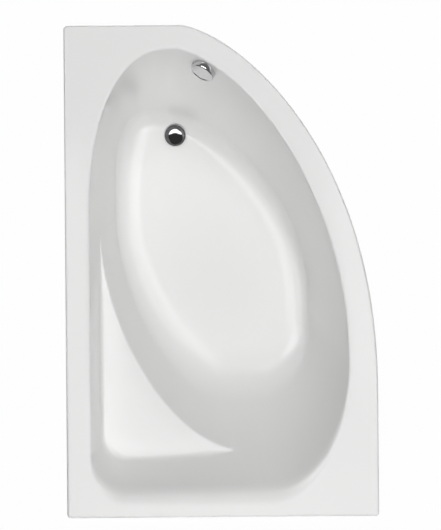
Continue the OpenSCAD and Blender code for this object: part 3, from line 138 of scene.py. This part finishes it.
# Least roughness of a finish, and the height that its grain stands for in metres
LEAST_ROUGH, GRAIN_HEIGHT = 0.02, 0.001


def corner_arc(c, a, n, q):
    """Points c + (ax sgn(cos q) |cos q|^(2/n0), ay sgn(sin q) |sin q|^(2/n1)) for the angles q in degrees."""
    s, t = np.sin(np.radians(q)), np.cos(np.radians(q))
    s[np.abs(s) < 1e-12] = 0
    t[np.abs(t) < 1e-12] = 0
    return np.stack(
        [c[0] + a[0] * np.sign(t) * np.abs(t) ** (2 / n[0]), c[1] + a[1] * np.sign(s) * np.abs(s) ** (2 / n[1])], 1
    )


def outline(s, inset, square, bow=0.0):
    """Outline of shape s, clockwise from above, set in by (left, right, head, foot).

    The head left corner is one superellipse arc, or with square two runs and a small radius, where the
    head run bows out by bow (2t - t^2) on its way t to that radius."""
    (l, r, b, t), fr, hr, hl, fl, rad = s
    il, ir, ib, it = inset
    egg = STEPS["run"] + STEPS["corner"] + STEPS["side"]

    def q(start, end, key):
        """The angles from start to end in the steps of a corner."""
        return np.linspace(start, end, STEPS[key] * FINE + 1)

    parts = [
        corner_arc((r - fr[0], t - fr[1]), (fr[0] - ir, fr[1] - it), fr[2:], q(90, 0, "free")),
        corner_arc((r - hr[0], b + hr[1]), (hr[0] - ir, hr[1] - ib), hr[2:], q(0, -90, "head")),
    ]
    c = (l + hl[0], b + hl[1])
    if square:
        run = np.linspace(0, 1, STEPS["run"] * FINE + 1)[:-1] ** RUN_CROWD
        turn = np.linspace(-90, -180, STEPS["corner"] * FINE + 1)[:-1]
        side = np.linspace(0, 1, STEPS["side"] * FINE + 1) ** SIDE_CROWD
        parts += [
            np.stack([c[0] + (l + rad - c[0]) * run, b + ib - bow * run * (2 - run)], 1),
            corner_arc((l + rad, b - bow + rad), (rad - il, rad - ib), (2, 2), turn),
            np.stack([np.full(len(side), l + il), mix(b - bow + rad, c[1], side)], 1),
        ]
    else:
        parts.append(corner_arc(c, (hl[0] - il, hl[1] - ib), hl[2:], np.linspace(-90, -180, egg * FINE + 1)))
    parts.append(corner_arc((l + fl[0], t - fl[1]), (fl[0] - il, fl[1] - it), fl[2:], q(180, 90, "foot")))
    return np.vstack(parts)


def mix(a, b, t):
    """The point a share t of the way from a to b."""
    return a + (b - a) * t


def blend_shape(a, b, t, less):
    """The shape a share t of the way from a to b, with its square corner's radius made less."""
    mixed = [tuple(mix(np.array(p, float), np.array(q, float), t)) for p, q in zip(a[:5], b[:5])]
    return tuple(mixed + [a[5] - less])


def lift(p, z):
    """Flat points p at the height z."""
    return np.column_stack([p, np.broadcast_to(z, len(p))])


def floor_height(p, g):
    """Height g under the floor at the points p, where the floor falls evenly to the waste."""
    return FLOOR_Z - g + (WASTE[1] - p[:, 1]) * FALL


def unit(v):
    """The vectors v at a length of 1."""
    return v / np.maximum(np.linalg.norm(v, axis=-1, keepdims=True), 1e-12)


def bend(p, a, b, da, db, steps):
    """Rows of the quadratic curve (1-t)^2 f + 2t(1-t) p + t^2 e about the corners p.

    f lies at the distance da from p towards a, and e at db towards b."""
    f, e = p + unit(a - p) * da[:, None], p + unit(b - p) * db[:, None]
    return [(1 - t) ** 2 * f + 2 * t * (1 - t) * p + t * t * e for t in np.linspace(0, 1, steps + 1)]


def well_rows(g, steps):
    """Rows of points down the well, from rim to floor, for the skin that lies g under the top surface.

    The corners of each column lie on the rim, the shelf's back, its edge and the floor, straight
    lines join them, and a quadratic curve of the given steps rounds each one."""
    n = np.ones(4)
    rim = outline(OPEN, -g * n, True)
    roll = outline(OPEN, [-max(r, 0 if g == 0 else g + LEAST_EDGE) for r in ROLLS], True)
    egg = outline(OPEN, -g * n, False)
    ground = outline(FLOOR, -g * n, False)
    flat = outline(FACE_FLAT, 0 * n, False) if g == 0 else outline(FLOOR, FILLETS, False)
    climb = outline(FLOOR, FACE_UP if g == 0 else FILLETS_UP, False)
    share = SHELF / WELL
    shelf = outline(blend_shape(OPEN, FLOOR, share, SHELF_TIGHTER), -g * n, True, SHELF_BOW)
    first = (STEPS["free"] + STEPS["head"]) * FINE + 2
    last = first + (STEPS["run"] + STEPS["corner"] + STEPS["side"]) * FINE
    edge = mix(egg, ground, share)
    back = edge.copy()
    back[first : last + 1] = shelf[first : last + 1]
    wide = np.linalg.norm(back - edge, axis=1)
    t = np.clip(wide / FADE_UNDER, 0, 1)
    fade = SHELF_FADE * (1 - t * t * (3 - 2 * t))
    v1 = lift(rim, RIM_Z - g)
    v2 = lift(mix(back, rim, (fade / SHELF)[:, None]), RIM_Z - SHELF - g + fade)
    v3 = lift(mix(edge, ground, (fade / (WELL - SHELF))[:, None]), RIM_Z - SHELF - g - fade)
    v4 = lift(ground, floor_height(ground, g))
    v5 = lift(flat, floor_height(flat, g))
    v0 = lift(roll, RIM_Z - g)
    cap = SLOPE_SHARE * np.linalg.norm(v3 - v2, axis=1)
    d1 = np.linalg.norm(v0 - v1, axis=1)
    d2 = np.minimum(SHELF_FILLET + g, cap)
    d3 = np.minimum(max(SHELF_EDGE - g, LEAST_EDGE), cap)
    d5 = np.linalg.norm(v5 - v4, axis=1)
    d4 = np.minimum(np.linalg.norm(climb - ground, axis=1), FLOOR_SHARE * np.linalg.norm(v4 - v3, axis=1))
    groups = [
        bend(v1, v0, v2, d1, d1, steps[0]),
        bend(v2, v1, v3, d2, d2, steps[1]),
        bend(v3, v2, v4, d3, d3, steps[2]),
        bend(v4, v3, v5, d4, d5, steps[3]),
    ]
    rows = list(groups[0])
    for group, extra in zip(groups[1:], ROWS_BETWEEN):
        rows += between(rows[-1], group[0], extra) + group
    return rows


def closing_ring(z, outer):
    """Circle within the waste's hole whose points stand at the same angles as those of an outer row."""
    c = WASTE - (0, RING_BACK)
    d = outer[:, :2] - c
    a = np.arctan2(d[:, 1], d[:, 0])
    return lift(np.column_stack([c[0] + RING_R * np.cos(a), c[1] + RING_R * np.sin(a)]), z)


def between(a, b, count):
    """The count rows at even shares between the rows a and b."""
    return [mix(a, b, k / (count + 1)) for k in range(1, count + 1)]


def lip_row(inset, z):
    """The outer outline, set in all round, at the height z."""
    return lift(outline(OUTER, np.full(4, inset), True), z)


def added(name, data):
    """A new object in the scene that holds a mesh, a light or a camera."""
    obj = bpy.data.objects.new(name, data)
    bpy.context.scene.collection.objects.link(obj)
    return obj


def piece(name, points, faces, material, body, smooth=SMOOTH_UNDER):
    """A mesh object of a body from points in millimetres and lists of point numbers."""
    mesh = bpy.data.meshes.new(name)
    mesh.from_pydata((np.asarray(points) * 0.001).tolist(), [], [list(map(int, f)) for f in faces])
    mesh.validate()
    obj = added(name, mesh)
    soften(mesh, smooth)
    mesh.materials.append(material)
    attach(obj, body)
    return obj


def soften(mesh, angle):
    """Smooth shading, but for edges sharper than the angle in degrees."""
    mesh.polygons.foreach_set("use_smooth", np.ones(len(mesh.polygons), bool))
    mesh.set_sharp_from_angle(angle=math.radians(angle))


def grid_faces(rows, columns, close_rows):
    """Quads of a grid of rows x columns points that closes round its columns, and over its rows if asked."""
    i, j = np.meshgrid(np.arange(rows if close_rows else rows - 1), np.arange(columns), indexing="ij")
    k, l = (i + 1) % rows, (j + 1) % columns
    return np.stack([i * columns + j, i * columns + l, k * columns + l, k * columns + j], -1).reshape(-1, 4)


def end_faces(rows, columns):
    """The two faces that close the first and the last row of a grid of points."""
    last = (rows - 1) * columns
    return [list(range(columns))[::-1], list(range(last, last + columns))]


def cut(obj, cutters):
    """Takes the cutter objects out of obj and deletes them."""
    for c in cutters:
        m = obj.modifiers.new("cut", "BOOLEAN")
        m.operation, m.solver, m.object = "DIFFERENCE", "MANIFOLD", c
    bpy.context.view_layer.update()
    done = bpy.data.meshes.new_from_object(obj.evaluated_get(bpy.context.evaluated_depsgraph_get()))
    obj.modifiers.clear()
    old, obj.data = obj.data, done
    bpy.data.meshes.remove(old)
    for c in cutters:
        bpy.data.meshes.remove(c.data)


def tree(name):
    """A new material with its principled shader and object coordinates."""
    m = bpy.data.materials.new(name)
    m.use_nodes = True
    n = m.node_tree.nodes
    where = n.new("ShaderNodeTexCoord")
    return m, n, m.node_tree.links, n["Principled BSDF"], where.outputs["Object"]


def finish_of(name, colour, rough, spread=0.1, scale=40.0, bump=0.0, bump_scale=200.0, tint=0.03, **sockets):
    """A material whose colour and roughness vary a little with noise, and whose surface may be rough."""
    m, n, links, shader, where = tree(name)
    noise = n.new("ShaderNodeTexNoise")
    noise.inputs["Scale"].default_value = scale
    noise.inputs["Detail"].default_value = 5
    links.new(where, noise.inputs["Vector"])
    vary = n.new("ShaderNodeMapRange")
    vary.inputs["To Min"].default_value = max(rough * (1 - spread), LEAST_ROUGH)
    vary.inputs["To Max"].default_value = rough * (1 + spread)
    links.new(noise.outputs["Fac"], vary.inputs["Value"])
    links.new(vary.outputs["Result"], shader.inputs["Roughness"])
    ramp = n.new("ShaderNodeMix")
    ramp.data_type = "RGBA"
    ramp.inputs["A"].default_value = (*[c * (1 - tint) for c in colour], 1)
    ramp.inputs["B"].default_value = (*[min(c * (1 + tint), 1) for c in colour], 1)
    links.new(noise.outputs["Fac"], ramp.inputs["Factor"])
    links.new(ramp.outputs["Result"], shader.inputs["Base Color"])
    if bump:
        grain = n.new("ShaderNodeTexNoise")
        grain.inputs["Scale"].default_value = bump_scale
        grain.inputs["Detail"].default_value = 4
        links.new(where, grain.inputs["Vector"])
        b = n.new("ShaderNodeBump")
        b.inputs["Strength"].default_value = bump
        b.inputs["Distance"].default_value = GRAIN_HEIGHT
        links.new(grain.outputs["Fac"], b.inputs["Height"])
        links.new(b.outputs["Normal"], shader.inputs["Normal"])
    for key, value in sockets.items():
        shader.inputs[key.replace("_", " ")].default_value = value
    return m


BY_SLOT = {
    "acrylic": finish_of("acrylic", (0.8, 0.8, 0.795), 0.16, spread=0.05, tint=0.004, scale=6),
    "chrome": finish_of("chrome", (0.66, 0.66, 0.67), 0.06, scale=90, tint=0.01, Metallic=1.0),
    "wood": finish_of("chipboard", (0.56, 0.4, 0.22), 0.65, scale=130, bump=0.35, bump_scale=300, tint=0.25),
    "zinc_steel": finish_of(
        "zinc", (0.58, 0.59, 0.61), 0.36, spread=0.3, scale=70, bump=0.12, bump_scale=400, tint=0.06, Metallic=1.0
    ),
    "white_plastic": finish_of(
        "white plastic", (0.8, 0.8, 0.78), 0.38, scale=60, bump=0.08, bump_scale=600, tint=0.01
    ),
    "grey_plastic": finish_of(
        "grey plastic", (0.16, 0.165, 0.17), 0.42, scale=60, bump=0.1, bump_scale=600, tint=0.05
    ),
    "black_plastic": finish_of(
        "black plastic", (0.03, 0.03, 0.03), 0.4, scale=60, bump=0.05, bump_scale=600, tint=0.05
    ),
    "rubber": finish_of("rubber", (0.035, 0.035, 0.036), 0.62, scale=60, bump=0.1, bump_scale=500, tint=0.05),
    "brass": finish_of("brass", (0.72, 0.52, 0.24), 0.25, scale=60, tint=0.03, Metallic=1.0),
}
# The back of the moulding, and the waste's two chrome pieces, whose chrome colour is darkened to show nearly black:
# a painted dark reflection
laminate = finish_of(
    "laminate", (0.72, 0.7, 0.62), 0.45, spread=0.3, scale=55, bump=0.9, bump_scale=120, tint=0.12
)
# Chrome darkened to nearly black: painted dark reflection, not a dark finish
chrome_with_painted_dark_reflection = finish_of("chrome with painted dark reflection", (0.17, 0.17, 0.175), 0.04, scale=90, tint=0.01, Metallic=1.0)
for part in frame["record"]["subparts"]:
    mesh = nodes[part["node"]].data
    mesh.materials.clear()
    mesh.materials.append(BY_SLOT[part["material_slot"]])
# The flange gets the darkened chrome too: painted dark reflection
nodes["waste_flange"].data.materials[0] = chrome_with_painted_dark_reflection


# Where the overflow's axis meets the wall: degrees along the foot right corner, and how far under the rim
OVERFLOW_TURN, OVERFLOW_DOWN = 74.0, 47.0


def overflow_frame():
    """Place and turn of the overflow axis, from the wall of the well as the CAD works them out."""

    def wall_point(q, share):
        """The wall's point at the angle q of the foot right corner and a share of the depth."""
        q = np.array([float(q)])
        pts = [corner_arc((s[0][1] - s[1][0], s[0][3] - s[1][1]), s[1][:2], s[1][2:], q)[0] for s in (OPEN, FLOOR)]
        p = mix(pts[0], pts[1], share)
        return np.array([p[0], p[1], RIM_Z - share * WELL])

    share = OVERFLOW_DOWN / WELL
    at = wall_point(OVERFLOW_TURN, share)
    along = unit(wall_point(OVERFLOW_TURN - 1, share) - wall_point(OVERFLOW_TURN + 1, share))
    up = unit(wall_point(OVERFLOW_TURN, 0) - wall_point(OVERFLOW_TURN, 2 * share))
    out = unit(np.cross(along, up))
    rise, turn = math.asin(out[2]), math.atan2(out[1], out[0])
    tilt = Matrix.Rotation(math.pi / 2 - rise, 4, "Y")
    return Matrix.Translation(Vector(at * 0.001)) @ Matrix.Rotation(turn, 4, "Z") @ tilt


OVERFLOW = overflow_frame()
OVER_WASTE = Matrix.Translation(Vector((WASTE[0], WASTE[1], 0)) * 0.001)


def turned(profile, sides):
    """Points (r cos a, r sin a, z) and faces of a closed solid turned from (radius, height) rows, low ones first."""
    a = np.linspace(0, 2 * np.pi, sides, endpoint=False)
    pts = np.vstack([np.column_stack([r * np.cos(a), r * np.sin(a), np.full(sides, z)]) for r, z in profile])
    return pts, grid_faces(len(profile), sides, False).tolist() + end_faces(len(profile), sides)


def lathe(profile, place):
    """A turned solid about a place's Z axis, to cut with."""
    pts, faces = turned(profile, CUT_SIDES)
    mesh = bpy.data.meshes.new("cutter")
    mesh.from_pydata([place @ Vector(p) for p in pts * 0.001], [], faces)
    return added("cutter", mesh)


def lip_rows(g0, g1, top):
    """Rows up the outside of the lip to the start of the well, and rows back down inside it, for one layer."""
    low = RIM_Z - LIP
    inner = [lip_row(g1, RIM_Z - g1)]
    if g0 > 0:
        return [lip_row(g0, low + LAMINATE_UP), lip_row(g0, RIM_Z - g0)], inner + [lip_row(g1, low + LAMINATE_UP)]
    outer = [lip_row(LIP_BEVEL, low), lip_row(0.0, low + LIP_BEVEL), lip_row(0.0, low + LIP_ROW)]
    turns = np.radians(np.linspace(0, 90, LIP_ROUND_ROWS))
    outer += [lip_row(LIP_ROUND * (1 - math.cos(x)), RIM_Z - LIP_ROUND * (1 - math.sin(x))) for x in turns]
    outer += between(outer[-1], top, RIM_ROWS)
    return outer, inner + [lip_row(g1, low + INNER_UP), lip_row(g1 - LIP_BEVEL, low)]


def moulding():
    """The moulded shell in two closed layers: the acrylic sheet and the glass-fibre laminate sprayed behind it.

    Each is one closed grid: up the lip, over the rim, down the well to a ring inside the waste's hole,
    and back under the floor, up the well's back and down inside the lip."""
    seat_z, back_z = FLOOR_Z - SEAT_SINK, FLOOR_Z - WALL + WASTE_BACK_CUT
    over_hole = ((HOLE_R, -OVERFLOW_REACH), (HOLE_R, OVERFLOW_REACH))
    waste_hole = ((HOLE_R, FLOOR_Z - WASTE_REACH), (HOLE_R, FLOOR_Z + WASTE_REACH))
    layers = (
        (
            ("shell_acrylic", 0.0, SKIN, BY_SLOT["acrylic"]),
            ((OVERFLOW_SEAT_R, 0), (OVERFLOW_SEAT_R, OVERFLOW_REACH)),
            [(r, seat_z + z) for r, z in WASTE_SEAT],
        ),
        (
            ("shell_laminate", SKIN, WALL, laminate),
            ((OVERFLOW_BACK_R, -OVERFLOW_BACK_DEEP), (OVERFLOW_BACK_R, OVERFLOW_BACK)),
            ((WASTE_BACK_R, back_z - WASTE_BACK_DEEP), (WASTE_BACK_R, back_z)),
        ),
    )
    for (name, g0, g1, material), overflow_cut, waste_cut in layers:
        top, low = well_rows(g0, FACE_STEPS), well_rows(g1, LOW_STEPS)
        outer, inner = lip_rows(g0, g1, top[0])
        ring = [closing_ring(FLOOR_Z - g, top[-1]) for g in (g0, g1)]
        above, below = between(top[-1], ring[0], FLOOR_ROWS[0]), between(ring[1], low[-1], FLOOR_ROWS[1])
        rows = outer + top + above + ring + below + low[::-1] + inner
        obj = piece(name, np.vstack(rows), grid_faces(len(rows), len(rows[0]), True)[:, ::-1], material, "bath")
        cuts = ((over_hole, OVERFLOW), (waste_hole, OVER_WASTE), (overflow_cut, OVERFLOW), (waste_cut, OVER_WASTE))
        cut(obj, [lathe(*c) for c in cuts])
        soften(obj.data, SMOOTH_UNDER)
        yield obj


shell, _ = moulding()
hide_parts("bath_shell")

# The overflow hose: the turn of its plane about the waste's axis in degrees, then its ends and its line in
# that plane as (distance from the axis, height)
HOSE_TURN = math.radians(58.5074)
HOSE_ENDS = ((223.722, 486.893), (41.0, 110.5))
HOSE_LINE = ((223.722, 458.893), (223.722, 267.277), (177.305, 110.5), (69.0, 110.5))
# Its radius and that of its bore, the depth, power and number of its ribs, and the length of its cuffs
HOSE_R, HOSE_BORE, RIB, RIB_POWER, RIBS, CUFF = 14.0, 10.6, 1.5, 0.8, 92, 24.0
# Points round it, rows for each rib and for the cuffs, and how many of these rows make one of its bore
HOSE_SIDES, RIB_ROWS, CUFF_ROWS, BORE_EVERY, HOSE_SMOOTH = 40, 8, 40, 6, 50
# The control cable's line and its ends
CABLE_LINE = (
    (-21.9673, 618.372, 483.729),
    (-52.5848, 566.386, 325.945),
    (-56.8263, 561.975, 116.5),
    (-108.778, 477.174, 116.5),
)
CABLE_ENDS = ((-21.0611, 619.91, 488.399), (-111.39, 472.91, 116.5))
# A level direction across it, its radius and that of its closed ends, its rows and the points round it
CABLE_SIDE = np.array([0.86166, -0.507486, 0.0])
CABLE_R, CABLE_TIP_R, CABLE_ROWS, CABLE_SIDES, CABLE_SMOOTH = 2.5, 0.4, 90, 20, 40
# The plug's cover: its radius, plain edge and bevel, and the bore and depth for its stem
COVER_R, COVER_EDGE, COVER_BEVEL, COVER_BORE, COVER_STEM_IN = 33.0, 2.5, 0.4, 4.0, 2.0
# Radius of the small face in its middle, the points round it, its rows and how they crowd at its edge
TINY_R, COVER_SIDES, COVER_ROWS, COVER_CROWD = 0.05, 128, 41, 0.7


def cubic(p, t):
    """Points (1-t)^3 p0 + 3t(1-t)^2 p1 + 3t^2(1-t) p2 + t^3 p3."""
    p, t = np.array(p, float), np.asarray(t)[:, None]
    return (1 - t) ** 3 * p[0] + 3 * t * (1 - t) ** 2 * p[1] + 3 * t * t * (1 - t) * p[2] + t**3 * p[3]


def even(line, count):
    """The line as count points at even distances along it, and those distances."""
    along = np.concatenate([[0], np.cumsum(np.linalg.norm(np.diff(line, axis=0), axis=1))])
    s = np.linspace(0, along[-1], count)
    return np.stack([np.interp(s, along, line[:, k]) for k in range(line.shape[1])], 1), s


def tube(line, side, radii, sides):
    """Rings C(s) + r(s) (cos a u(s) + sin a v(s)) about a line, where v is square to the line and to side."""
    way = unit(np.gradient(line, axis=0))
    v = unit(np.cross(way, side))
    u = np.cross(v, way)
    a = np.linspace(0, 2 * np.pi, sides, endpoint=False)
    ring = np.cos(a)[None, :, None] * u[:, None] + np.sin(a)[None, :, None] * v[:, None]
    return line[:, None] + radii[:, None, None] * ring


def hose():
    """The ribbed hose: radius R - rib ((1 - cos(2 pi n s)) / 2)^k between two plain cuffs, with a round bore."""
    flat = np.vstack([HOSE_ENDS[0], cubic(HOSE_LINE, np.linspace(0, 1, 400)), HOSE_ENDS[1]])
    way = (math.cos(HOSE_TURN), math.sin(HOSE_TURN))
    line = np.column_stack([WASTE[0] + flat[:, 0] * way[0], WASTE[1] + flat[:, 0] * way[1], flat[:, 1]])
    line, s = even(line, RIBS * RIB_ROWS + CUFF_ROWS)
    ribbed = np.clip((s - CUFF) / (s[-1] - 2 * CUFF), 0, 1)
    outer = HOSE_R - RIB * (0.5 - 0.5 * np.cos(2 * np.pi * RIBS * ribbed)) ** RIB_POWER
    side = np.array([-way[1], way[0], 0.0])
    bore = np.arange(0, len(line), BORE_EVERY)
    bore[-1] = len(line) - 1
    inner = tube(line, side, np.full(len(line), HOSE_BORE), HOSE_SIDES)
    points = np.concatenate([tube(line, side, outer, HOSE_SIDES), inner[bore[::-1]]])
    faces = grid_faces(len(points), HOSE_SIDES, True)
    obj = piece("hose_ribbed", points.reshape(-1, 3), faces, BY_SLOT["white_plastic"], "bath", HOSE_SMOOTH)
    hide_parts("overflow_hose")


def cable():
    """The smooth sheath of the control cable: a tube of radius r along its line, with two closed ends."""
    line, _ = even(np.vstack([CABLE_ENDS[0], cubic(CABLE_LINE, np.linspace(0, 1, 120)), CABLE_ENDS[1]]), CABLE_ROWS)
    rings = tube(line, CABLE_SIDE, np.full(len(line), CABLE_R), CABLE_SIDES)
    middles = line[[0, -1], None]
    tips = middles + (rings[[0, -1]] - middles) * (CABLE_TIP_R / CABLE_R)
    points = np.concatenate([tips[:1], rings, tips[1:]])
    faces = grid_faces(len(points), CABLE_SIDES, False).tolist() + end_faces(len(points), CABLE_SIDES)
    obj = piece("cable_sheath", points.reshape(-1, 3), faces, BY_SLOT["black_plastic"], "bath", CABLE_SMOOTH)
    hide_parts("control_cable")


def waste_cover():
    """The plug's cover turned from edge + rise sqrt(1 - (r/R)^3): nearly flat in the middle, round at its edge."""
    low, high = (corner[2] * 1000 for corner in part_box("plug_dome"))
    bore_top = low + COVER_EDGE + COVER_STEM_IN
    u = np.linspace(1, 0, COVER_ROWS) ** COVER_CROWD
    rise = high - low - COVER_EDGE
    crown = np.column_stack([np.maximum(u * COVER_R, TINY_R), low + COVER_EDGE + rise * np.sqrt(1 - u**3)])
    bore = [(TINY_R, bore_top), (COVER_BORE, bore_top), (COVER_BORE, low)]
    bevel = [(COVER_R - COVER_BEVEL, low), (COVER_R, low + COVER_BEVEL)]
    points, faces = turned(np.vstack([bore, bevel, crown]), COVER_SIDES)
    points[:, :2] += WASTE
    # Its chrome is darkened to nearly black: painted dark reflection
    obj = piece("waste_cover", points, faces, chrome_with_painted_dark_reflection, "plug")
    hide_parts("plug_dome")
    return obj


hose()
cable()
chrome_pieces = (waste_cover(), nodes["waste_flange"], nodes["overflow_knob"])

# Half the studio floor's side, its grey and roughness, and how bright it shows to the camera
FLOOR_HALF, FLOOR_GREY, FLOOR_ROUGH, FLOOR_SEEN = 30.0, 0.9, 0.9, 0.99
# Camera: height over the rim, focal length, picture height and shift in pixels, and roll in degrees
DROP, LENS = 4.5, 100.52
PICTURE_H, SHIFT, ROLL = 530, (-0.72, 5.86), 0.47


def any_ray(n, links, path, rays):
    """An output that is 1 where the ray is of one of the given kinds."""
    seen = path.outputs[rays[0]]
    for ray in rays[1:]:
        either = n.new("ShaderNodeMath")
        either.operation = "MAXIMUM"
        links.new(seen, either.inputs[0])
        links.new(path.outputs[ray], either.inputs[1])
        seen = either.outputs["Value"]
    return seen


def shaded(n, links, fac, first, second):
    """The mix of two shaders by a factor."""
    both = n.new("ShaderNodeMixShader")
    for socket, output in zip(("Fac", 1, 2), (fac, first, second)):
        links.new(output, both.inputs[socket])
    return both.outputs["Shader"]


def floor():
    """A pale floor that takes light and shadow, and shows white to the camera and in gloss."""
    mesh = bpy.data.meshes.new("studio_floor")
    s = FLOOR_HALF
    mesh.from_pydata([(-s, -s, 0), (s, -s, 0), (s, s, 0), (-s, s, 0)], [], [(0, 1, 2, 3)])
    obj = added("studio_floor", mesh)
    m, n, links, shader, _ = tree("studio floor")
    shader.inputs["Base Color"].default_value = (FLOOR_GREY, FLOOR_GREY, FLOOR_GREY, 1)
    shader.inputs["Roughness"].default_value = FLOOR_ROUGH
    glow = n.new("ShaderNodeEmission")
    glow.inputs["Color"].default_value = (1, 1, 1, 1)
    glow.inputs["Strength"].default_value = FLOOR_SEEN
    path = n.new("ShaderNodeLightPath")
    seen = any_ray(n, links, path, ("Is Camera Ray", "Is Glossy Ray", "Is Transmission Ray"))
    mixed = shaded(n, links, seen, shader.outputs["BSDF"], glow.outputs["Emission"])
    links.new(mixed, n["Material Output"].inputs["Surface"])
    mesh.materials.append(m)


def panel(name, place, target, size, level, gleam, group):
    """A one-sided panel whose face shines at the given level, and which the camera doesn't see.

    A soft panel only lights the surfaces. A gleam only shows in gloss, and only in that of its group."""
    data = bpy.data.lights.new(name, "AREA")
    data.shape, data.size, data.size_y = "RECTANGLE", size[0], size[1]
    data.energy = math.pi * size[0] * size[1] * level
    obj = added(name, data)
    obj.location = place
    obj.rotation_euler = (Vector(target) - Vector(place)).to_track_quat("-Z", "Y").to_euler()
    obj.visible_camera = False
    obj.visible_diffuse, obj.visible_glossy = not gleam, gleam
    if gleam:
        obj.light_linking.receiver_collection = group


def chrome_group(name, state):
    """A collection of the chrome pieces, which as a panel's receivers lets only them in or keeps them out."""
    group = bpy.data.collections.new(name)
    for obj in chrome_pieces:
        group.objects.link(obj)
    for entry in group.collection_objects:
        entry.light_linking.link_state = state
    return group


# Levels of the ceiling panels, a row for each step from the head end to the foot end
SOFT_LEVELS = (
    (0, 0.7, 5.8, 9.07, 0),
    (0, 0, 0, 0, 0),
    (0, 0, 5.23, 0, 0),
    (0, 0, 2.89, 0, 0),
    (0.028, 0, 11.4, 0, 0),
)
GLEAM_LEVELS = (
    (1.85, 0.079, 2.64, 2.14, 1.76, 5.96, 1.59),
    (0.595, 3.14, 2.68, 1.12, 2.71, 2.93, 0),
    (3.69, 4.69, 0.725, 1.16, 2.26, 1.47, 2.21),
    (3.49, 1.85, 2.15, 0, 0.507, 0, 0),
)
# Ceiling height, then for both kinds the step and size across and along and the place of the first panel
CEILING_Z = 3.4
SOFT_GRID = ((1.1, 1.2), (-2.2, -2.4))
GLEAM_GRID = ((0.8, 1.2), (-2.4, -1.2))
# The panel that only the chrome pieces show: place, size and level
CHROME_GLEAM = ((-0.15, 1.75, 3.4), (3.0, 1.7), 7.0)
# How bright the room beyond the floor shows in polished surfaces, and to the camera
ROOM_IN_GLOSS, ROOM_SEEN = 0.15, 0.99
# Low panels: their height and what they face, then each one's place, size and two levels
SIDE_Z, SIDE_TARGET = 1.9, (0, 0, 0.9)
SIDES = (
    ("left", (-3.6, 0.0), (1.6, 4.5), 0, 2.11),
    ("right", (3.6, 0.0), (1.6, 4.5), 0.416, 1.66),
    ("foot", (0.0, 4.0), (4.0, 1.6), 0.616, 0),
    ("head", (0.0, -4.0), (4.0, 1.6), 1.78, 2.5),
)


def studio():
    """Soft light from a ceiling of panels at set levels and a low panel on each side."""
    world = bpy.data.worlds.new("studio")
    bpy.context.scene.world = world
    world.use_nodes = True
    n, links = world.node_tree.nodes, world.node_tree.links
    n["Background"].inputs["Strength"].default_value = 0.0
    path = n.new("ShaderNodeLightPath")
    last = n["Background"].outputs["Background"]
    for rays, level in ((("Is Glossy Ray",), ROOM_IN_GLOSS), (("Is Camera Ray", "Is Transmission Ray"), ROOM_SEEN)):
        room = n.new("ShaderNodeBackground")
        room.inputs["Color"].default_value = (1, 1, 1, 1)
        room.inputs["Strength"].default_value = level
        last = shaded(n, links, any_ray(n, links, path, rays), last, room.outputs["Background"])
    links.new(last, n["World Output"].inputs["Surface"])
    rest, chromes = chrome_group("all_but_chrome", "EXCLUDE"), chrome_group("chrome_only", "INCLUDE")
    place, size, level = CHROME_GLEAM
    panel("gleam_chrome", place, (place[0], place[1], 0), size, level, True, chromes)
    for kind, levels, (step, first) in (("soft", SOFT_LEVELS, SOFT_GRID), ("gleam", GLEAM_LEVELS, GLEAM_GRID)):
        for j, row in enumerate(levels):
            for i, level in enumerate(row):
                x, y = first[0] + i * step[0], first[1] + j * step[1]
                if level > 0:
                    panel(f"{kind}_{i}_{j}", (x, y, CEILING_Z), (x, y, 0), step, level, kind == "gleam", rest)
    for name, place, size, soft, gleam in SIDES:
        for kind, level in (("soft", soft), ("gleam", gleam)):
            if level > 0:
                panel(f"{kind}_{name}", (*place, SIDE_Z), SIDE_TARGET, size, level, kind == "gleam", rest)


def camera():
    """Straight above the bath, as in the photograph."""
    data = bpy.data.cameras.new("camera")
    data.sensor_width, data.lens = 36.0, LENS
    data.shift_x, data.shift_y = SHIFT[0] / PICTURE_H, SHIFT[1] / PICTURE_H
    data.clip_start, data.clip_end = 0.1, 100
    obj = added("camera", data)
    obj.location = (0, 0, RIM_Z * 0.001 + DROP)
    obj.rotation_euler = (0, 0, -math.radians(ROLL))
    bpy.context.scene.camera = obj


floor()
studio()
camera()
scene = bpy.context.scene
scene.view_settings.view_transform = "Standard"
scene.view_settings.look = "None"
